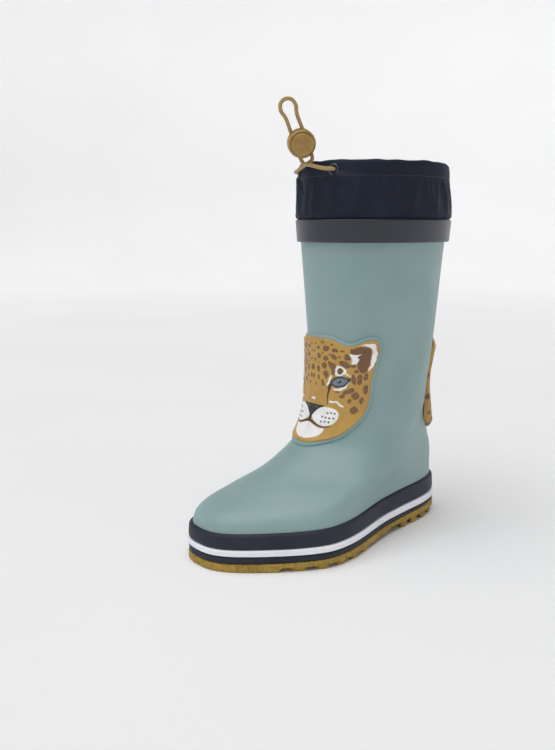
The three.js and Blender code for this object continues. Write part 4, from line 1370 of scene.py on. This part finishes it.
def blob(points, each=6):
    """Area inside a smooth closed curve."""
    corners = closed_curve(in_millimetres(points), each)

    def distance(p):
        best = np.full(p.shape[:-1], 1e9)
        inside = np.zeros(p.shape[:-1], bool)
        for a, b in zip(corners, np.roll(corners, -1, 0)):
            f = np.clip(((p - a) @ (b - a)) / max((b - a) @ (b - a), 1e-12), 0, 1)
            best = np.minimum(best, np.linalg.norm(p - a - f[..., None] * (b - a), axis=-1))
            crosses = (a[1] > p[..., 1]) != (b[1] > p[..., 1])
            rise = b[1] - a[1] if abs(b[1] - a[1]) > 1e-9 else 1e-9
            inside ^= crosses & (p[..., 0] < (b[0] - a[0]) * (p[..., 1] - a[1]) / rise + a[0])
        return np.where(inside, -best, best)
    return distance


print("print shapes ready")

# %% Inks
OCHRE, DEEP_OCHRE = linear(198, 155, 76), linear(176, 134, 62)
BROWN, SOFT_BROWN = linear(118, 82, 52), linear(136, 97, 64)
INK, SNOW = linear(40, 38, 42), linear(248, 247, 246)
IRIS, IRIS_DARK = linear(112, 128, 142), linear(70, 84, 98)

# %% Spots: degrees, height, width, length, tilt
SPOTS = [
    (3, 134.6, 1.8, 1.2, 0), (12, 136.2, 2.2, 1.5, -20), (22, 134.8, 2.0, 1.7, -30), (7, 132.2, 2.9, 2.3, 0),
    (16, 132.0, 4.8, 4.0, 10), (25, 131.2, 4.2, 2.6, -25), (32, 131.0, 2.6, 1.4, -10), (2, 129.6, 1.8, 1.5, 0),
    (12, 128.9, 1.8, 1.6, 0), (20, 128.4, 1.7, 1.3, 0), (8, 126.6, 3.6, 3.4, 20), (16, 125.4, 3.6, 3.4, -10),
    (24, 126.8, 4.2, 2.7, -30), (29.5, 126.8, 1.5, 2.0, 0), (36.5, 127.0, 3.8, 4.6, 20),
    (3, 123.6, 1.9, 1.8, 0),
    (8, 121.9, 1.5, 1.2, 0), (1, 118.3, 2.2, 4.4, 0), (8, 117.6, 2.6, 4.6, 8), (14.5, 120.4, 3.6, 4.7, 8),
    (34.5, 122.2, 7.4, 3.7, -32), (2.5, 112.6, 1.9, 3.2, 0), (9, 112.0, 2.0, 3.2, 5), (17, 114.6, 3.2, 5.6, 18),
    (14.5, 108.6, 2.4, 4.4, 20), (6, 107.4, 1.5, 2.2, 0), (42, 121.2, 3.2, 2.8, 0), (45, 117.6, 2.8, 2.6, 0),
    (48.5, 112.4, 3.0, 7.4, 0), (53.5, 114.2, 2.6, 4.8, -8), (43.5, 112.0, 2.6, 7.6, 14),
    (54.5, 105.4, 2.8, 6.2, 0),
    (40, 104.0, 7.8, 3.2, 26), (46.5, 101.2, 4.4, 5.0, 0), (35, 100.4, 3.4, 2.8, 0), (42, 97.4, 2.0, 3.2, 0),
    (52, 98.0, 2.2, 4.4, 0), (47, 91.4, 4.4, 5.2, 0), (30, 103.2, 2.8, 1.3, 0), (50.5, 119.6, 4.6, 6.4, 0),
]
spots = [ellipse(*spot) for spot in SPOTS]
spots.append(blob([(19, 123.6), (25, 121.8), (27.5, 117.6), (25, 114.2), (22.5, 117.5), (20, 120)]))
ear_inside = blob([(38, 131.2), (44, 133.8), (53.5, 133.8), (56, 131.4), (56, 125), (54, 120), (50, 117),
                   (46, 120),
                   (44, 125.5)])

# %% White, black and blue marks
white_marks = [
    blob([(45, 134.6), (53, 136.3), (58, 135.9), (60.5, 131.5), (60.5, 126), (58, 120.4), (54.5, 117.8),
          (56.3, 123),
          (56.2, 127), (57.2, 130), (55.5, 133.2), (51, 135)]),
    blob([(38, 129.3), (42, 128.6), (48.5, 129.4), (44.5, 127.4), (46.5, 125.2), (44, 122.4), (40.5, 122.6),
          (40, 126.4)]),
    blob([(26.2, 114.6), (27.2, 120.8), (29.2, 121), (36.2, 118.6), (34.2, 114.9)], 3),
    stroke([(34.5, 115.9), (37.5, 115.2), (40.5, 114.3)], 0.9, 0.5),
    blob([(21.6, 114.4), (23, 114.0), (22.6, 110.8), (20.3, 107.2), (19, 107.4), (20.6, 111)]),
    blob([(25.5, 105.2), (32, 103.9), (37, 106.2), (39.8, 110.2), (36.5, 107.4), (31.5, 105.6)]),
    ellipse(3.5, 97.2, 5.2, 1.9, -4),
    stroke([(24, 96.2), (30, 96.6), (36.5, 93.6)], 1.1, 1.7),
]
brow_hole = blob([(28.6, 115.6), (29.4, 119.4), (33.4, 118.2), (32.6, 115.8)])
muzzle = blob([(6.8, 85.6), (10, 89.9), (20, 92.2), (29, 91.6), (34.4, 88.6), (34.2, 83.6), (30, 80.4),
               (23, 79.0), (15, 80.4), (8.6, 83)])
chin = blob([(4, 80.0), (12, 79.0), (19, 77.6), (24.5, 77.4), (22.5, 73.2), (15, 70.6), (4, 70.0)])
nose = blob([(4, 92.9), (12, 93.2), (19, 93.2), (13, 90.4), (8.6, 87.2), (6, 84.6), (4, 84.2)])
mouth = stroke([(4.6, 86), (5.4, 81.6), (10, 80.9), (16, 79.3), (23, 78.3), (30, 79.4)], 1.9, 0.7)
tear = stroke([(22.6, 106.2), (21, 101), (21.8, 94.2)], 1.5, 0.5)
WHISKERS = [(24, 88.2), (27.6, 88.6), (31, 88.3), (19.6, 85.3), (23.4, 84.9), (27, 84.8), (31, 84.9),
            (19.6, 81.9), (23.6, 82.1), (27.4, 82.0)]
whiskers = [ellipse(x, z, 1.3, 1.3) for x, z in WHISKERS]
eye_rim = blob([(20.2, 104.4), (22.4, 109.6), (26.5, 112.8), (32, 113.9), (37, 113.2), (41, 112.2),
                (38.6, 109.2),
                (35.2, 106.8), (29, 106.2), (24, 107.0)])
eye = blob([(24.2, 109.0), (27.4, 111.9), (32, 112.9), (36.6, 112.4), (38.6, 111.4), (36.6, 109), (33.4, 107.6),
            (28, 107.4)])
pupil, glint = ellipse(31, 110.3, 2.3, 2.3), ellipse(30.3, 110.9, 0.7, 0.7)
print(len(spots), "spots,", len(white_marks), "white marks")


# %% Ink the patch
def cover(paint, ink, distance, soft=0.16):
    """Puts ink where a distance is below zero, with an edge a fraction of a millimetre wide."""
    share_of_ink = (1 - smooth(-soft, soft, distance))[..., None]
    return paint * (1 - share_of_ink) + np.array(ink) * share_of_ink


def nearest(shapes, p):
    return np.min([shape(p) for shape in shapes], axis=0)


def painted_face(flat):
    middle = 4.6 * (1 - smooth(92, 118, flat[..., 1])) * DEGREE
    p = flat.copy()
    p[..., 0] = middle + np.abs(p[..., 0] - middle)
    side = np.sign(flat[..., 0] - middle)
    wander = 0.22 * np.stack([np.sin(1.3 * flat[..., 1] + 0.9 * flat[..., 0] + side),
                              np.sin(1.1 * flat[..., 0] - 0.8 * flat[..., 1] + 2 * side)], -1)
    marks = p + wander
    cloud = 0.5 + 0.5 * np.sin(0.21 * flat[..., 0] + 0.8) * np.sin(0.17 * flat[..., 1])
    paint = np.array(OCHRE) * (0.93 + 0.09 * cloud[..., None])
    shade = smooth(44, 66, np.abs(flat[..., 0]) / DEGREE) * 0.55
    paint = paint * (1 - shade[..., None]) + np.array(DEEP_OCHRE) * shade[..., None]
    spot = nearest(spots, marks)
    paint = cover(paint, BROWN, spot)
    paint = cover(paint, SOFT_BROWN, spot + 0.75, 0.4)
    fur = 1.1 * np.sin(2.2 * marks[..., 0] + 1.4 * marks[..., 1])
    paint = cover(paint, BROWN, ear_inside(marks) + 0.25 * fur)
    paint = cover(paint, SNOW, nearest(white_marks, marks), 0.14)
    paint = cover(paint, BROWN, brow_hole(marks))
    paint = cover(paint, SNOW, np.minimum(muzzle(p), chin(p)), 0.14)
    paint = cover(paint, INK, nearest([nose, mouth, tear, *whiskers], p), 0.14)
    # painted highlight: a soft grey streak across the top of the black nose, one on each side of the middle
    paint = cover(paint, linear(84, 84, 88), nearest([ellipse(9.5, 91.6, 3.6, 0.9, -8)], p), 0.35)
    paint = cover(paint, INK, eye_rim(p), 0.12)
    paint = cover(paint, IRIS, eye(p), 0.12)
    paint = cover(paint, IRIS_DARK, np.abs(eye(p)) - 0.25, 0.2)
    paint = cover(paint, INK, pupil(p), 0.12)
    return cover(paint, SNOW, glint(p), 0.12)


def ink_points(piece, colours):
    """Stores a colour on each point of a piece."""
    layer = piece.data.color_attributes.new("print", "FLOAT_COLOR", "POINT")
    solid = np.ones((len(piece.data.vertices), 4))
    solid[:len(colours), :3] = colours
    layer.data.foreach_set("color", solid.ravel())


PATCH_LOW, PATCH_HIGH = 1.55, 2.75
patch_shares = np.concatenate([np.linspace(0.01, 0.94, 112), np.linspace(0.945, 1, 12)])
patch_outline = closed_curve(face_points, 16)
patch_flat = fan(patch_outline, patch_shares)
to_edge = np.linalg.norm(patch_flat - patch_outline[None], axis=-1)
patch_height = PATCH_LOW + (PATCH_HIGH - PATCH_LOW) * np.sqrt(1 - (1 - np.minimum(to_edge / 0.7, 1)) ** 2)
half_flat = patch_flat.copy()
half_flat[..., 0] = np.abs(half_flat[..., 0] - 3 * DEGREE) + 3 * DEGREE
patch_height += 0.35 * smooth(0.8, -2.6, muzzle(half_flat)) + 0.25 * smooth(0.6, -1.6, nose(half_flat))
face_colours = painted_face(patch_flat)
face = make_sheet("face_print", on_shin(patch_flat, patch_height)[::-1],
                  on_shin(patch_flat, 0 * patch_height + PATCH_LOW)[::-1],
                  True, slot="leopard_print", replaces=("face_panel",))
ink_points(face, np.concatenate([face_colours[::-1].reshape(-1, 3)] * 2))
print("face has", len(face.data.vertices), "points")

# %% [markdown]
# ## Tail
# A raised rubber tail curls down the back of the shaft. Its middle line swings from side to side, it
# grows from a narrow top to a full tip, and its section is a dome. The spots are printed as on the face.

# %% Build the tail
TAIL_LOW_RING, TAIL_HIGH_RING = 5.5, 9.0
f = np.linspace(0, 1, 130)[:, None]
tail_ring = mix(TAIL_LOW_RING, TAIL_HIGH_RING, f)
swing = 151 - 7 * np.sin(2 * math.pi * f)
tail_half = mix(14, 6.3, f) * np.minimum(1, 0.12 + 3.2 * f) ** 0.6 * (1 - 0.85 * smooth(0.95, 1.0, f) ** 2)
section = np.sin(np.linspace(-math.pi / 2, math.pi / 2, 41))[None, :]
tail_angle = np.radians(swing + section * tail_half)
dome_ends = np.minimum(1, 0.25 + 5 * f) ** 0.5 * (1 - smooth(0.93, 1, f) * 0.8)
dome = 0.05 + 5.2 * (1 - section**2) ** 0.5 * dome_ends
tail_t, dome = np.broadcast_arrays(tail_ring, dome + 0 * tail_angle)
tail = make_sheet("leopard_tail", on_last(tail_t, tail_angle, dome),
                  on_last(tail_t, tail_angle, 0 * dome - 0.05),
                  False, slot="leopard_print", replaces=("tail",))

# %% Ink the tail
TAIL_LENGTH = 70.0
along_tail = f * TAIL_LENGTH + 0 * section
across_tail = section * tail_half * 0.7
flat_tail = np.stack(np.broadcast_arrays(across_tail, along_tail), -1)
tail_rng = np.random.default_rng(11)
tail_spots = []
for row_number, at in enumerate(np.arange(14, TAIL_LENGTH - 3, 7.5)):
    for side in ((-5.2, 0.6, 5.8) if row_number % 2 else (-2.6, 3.2)):
        tail_spots.append(ellipse((side + tail_rng.uniform(-0.8, 0.8)) / DEGREE,
                                  at + tail_rng.uniform(-1.2, 1.2),
                                  tail_rng.uniform(2.6, 4.2), tail_rng.uniform(3.6, 5.6),
                                  tail_rng.uniform(-25, 25)))
# painted shade: the ochre is lightest along the crown of the domed tail and darker down its sides
tail_paint = np.array(OCHRE) * (0.9 + 0.1 * np.cos(0.5 * flat_tail[..., :1]))
tail_spot = nearest(tail_spots, flat_tail)
tail_paint = cover(tail_paint, BROWN, tail_spot, 0.3)
tail_paint = cover(tail_paint, SOFT_BROWN, tail_spot + 1.0, 0.5)
tail_paint = cover(tail_paint, BROWN, flat_tail[..., 1] - 9 - 1.2 * np.sin(2.2 * flat_tail[..., 0]), 0.5)
ink_points(tail, np.concatenate([tail_paint.reshape(-1, 3)] * 2))
print("tail has", len(tail_spots), "spots")

# %% Printed rubber finish
print_finish = Finish("leopard_print", 0.5, Coat_Weight=0.12, Coat_Roughness=0.4)
ink_layer = print_finish.node("Attribute")
ink_layer.attribute_name = "print"
mottle = print_finish.ramp(print_finish.noise(170, 4), (0.3, (0.86, 0.86, 0.86)), (0.7, (1.0, 1.0, 1.0)))
print_finish.colour(print_finish.blend(1.0, ink_layer.outputs["Color"], mottle, "MULTIPLY"))
print_finish.roughen(print_finish.noise(240, 3), 0.44, 0.6)
print_finish.bump(print_finish.noise(1500, 2), 0.05, 0.4)
wear(print_finish.material, face)
wear(print_finish.material, tail)

# %% [markdown]
# ## Floor and light
# The boot stands in a wide pale bowl, so that the ground runs up into the background from every side.
# Most light comes softly from overhead, a large lamp at the front left adds a gentle gloss, and the far
# wall of the bowl glows a little, as a lit studio backdrop does. The pale ground sends light back up.

# %% Pale bowl
BOWL_FLOOR, BOWL_CURVE, BOWL_TOP = 2.4, 1.2, 1.6
bowl_line = [(r, 0.0) for r in (0.02, 0.3, 0.8, 1.5, BOWL_FLOOR)]
bowl_line += [(BOWL_FLOOR + BOWL_CURVE * math.sin(math.radians(k)),
               BOWL_CURVE * (1 - math.cos(math.radians(k))))
              for k in range(6, 91, 6)] + [(BOWL_FLOOR + BOWL_CURVE, BOWL_TOP)]
BOWL_SIDES = 96
bowl_points = [(r * math.cos(2 * math.pi * k / BOWL_SIDES), r * math.sin(2 * math.pi * k / BOWL_SIDES), z)
               for r, z in bowl_line for k in range(BOWL_SIDES)]
bowl_faces = grid_faces(len(bowl_line), BOWL_SIDES, True, 0, True) + [list(range(BOWL_SIDES))]
bowl_mesh = bpy.data.meshes.new("pale_bowl")
bowl_mesh.from_pydata(bowl_points, [], bowl_faces)
bowl_mesh.polygons.foreach_set("use_smooth", [True] * len(bowl_faces))
bowl = bpy.data.objects.new("pale_bowl", bowl_mesh)
bpy.context.scene.collection.objects.link(bowl)
bowl_finish = Finish("pale_paper", 0.95, Specular_IOR_Level=0.1)
bowl_finish.colour(bowl_finish.ramp(bowl_finish.noise(3, 2), (0.3, linear(242, 242, 243)),
                                    (0.7, linear(245, 245, 246))))
nodes, links = bowl_finish.material.node_tree.nodes, bowl_finish.material.node_tree.links
height = nodes.new("ShaderNodeSeparateXYZ")
links.new(nodes.new("ShaderNodeTexCoord").outputs["Object"], height.inputs["Vector"])
glow = nodes.new("ShaderNodeMapRange")
glow.interpolation_type = "SMOOTHSTEP"
glow.inputs["From Max"].default_value = BOWL_CURVE
glow.inputs["To Max"].default_value = 0.27
links.new(height.outputs["Z"], glow.inputs["Value"])
paper = next(node for node in nodes if node.type == "BSDF_PRINCIPLED")
paper.inputs["Emission Color"].default_value = (1, 1, 1, 1)
links.new(glow.outputs["Result"], paper.inputs["Emission Strength"])
wear(bowl_finish.material, bowl)

# %% Lights
LIGHT_TURN = Vector((-outward.y, outward.x, 0)).normalized()
world = bpy.data.worlds.new("studio")
world.use_nodes = True
world.node_tree.nodes["Background"].inputs["Color"].default_value = (1, 1, 1, 1)
world.node_tree.nodes["Background"].inputs["Strength"].default_value = 0.2
bpy.context.scene.world = world
bpy.context.scene.view_settings.view_transform = "Standard"


def area_light(name, place, size, power):
    data = bpy.data.lights.new(name, "AREA")
    data.shape = "SQUARE"
    data.size = size
    data.energy = power
    light = bpy.data.objects.new(name, data)
    bpy.context.scene.collection.objects.link(light)
    light.location = place
    light.rotation_euler = (Vector((0, 0, 0.12)) - Vector(place)).to_track_quat("-Z", "Y").to_euler()
    return light


area_light("key", tuple(outward * 0.8 - LIGHT_TURN * 1.0 + Vector((0, 0, 1.3))), 1.3, 2.4)
overhead = bpy.data.lights.new("overhead", "SUN")
overhead.energy = 1.9
overhead.angle = math.radians(60)
ceiling = bpy.data.objects.new("overhead", overhead)
bpy.context.scene.collection.objects.link(ceiling)
downwards = -outward * 0.2 + LIGHT_TURN * 0.2 - Vector((0, 0, 1))
ceiling.rotation_euler = downwards.to_track_quat("-Z", "Y").to_euler()
print("lights set")
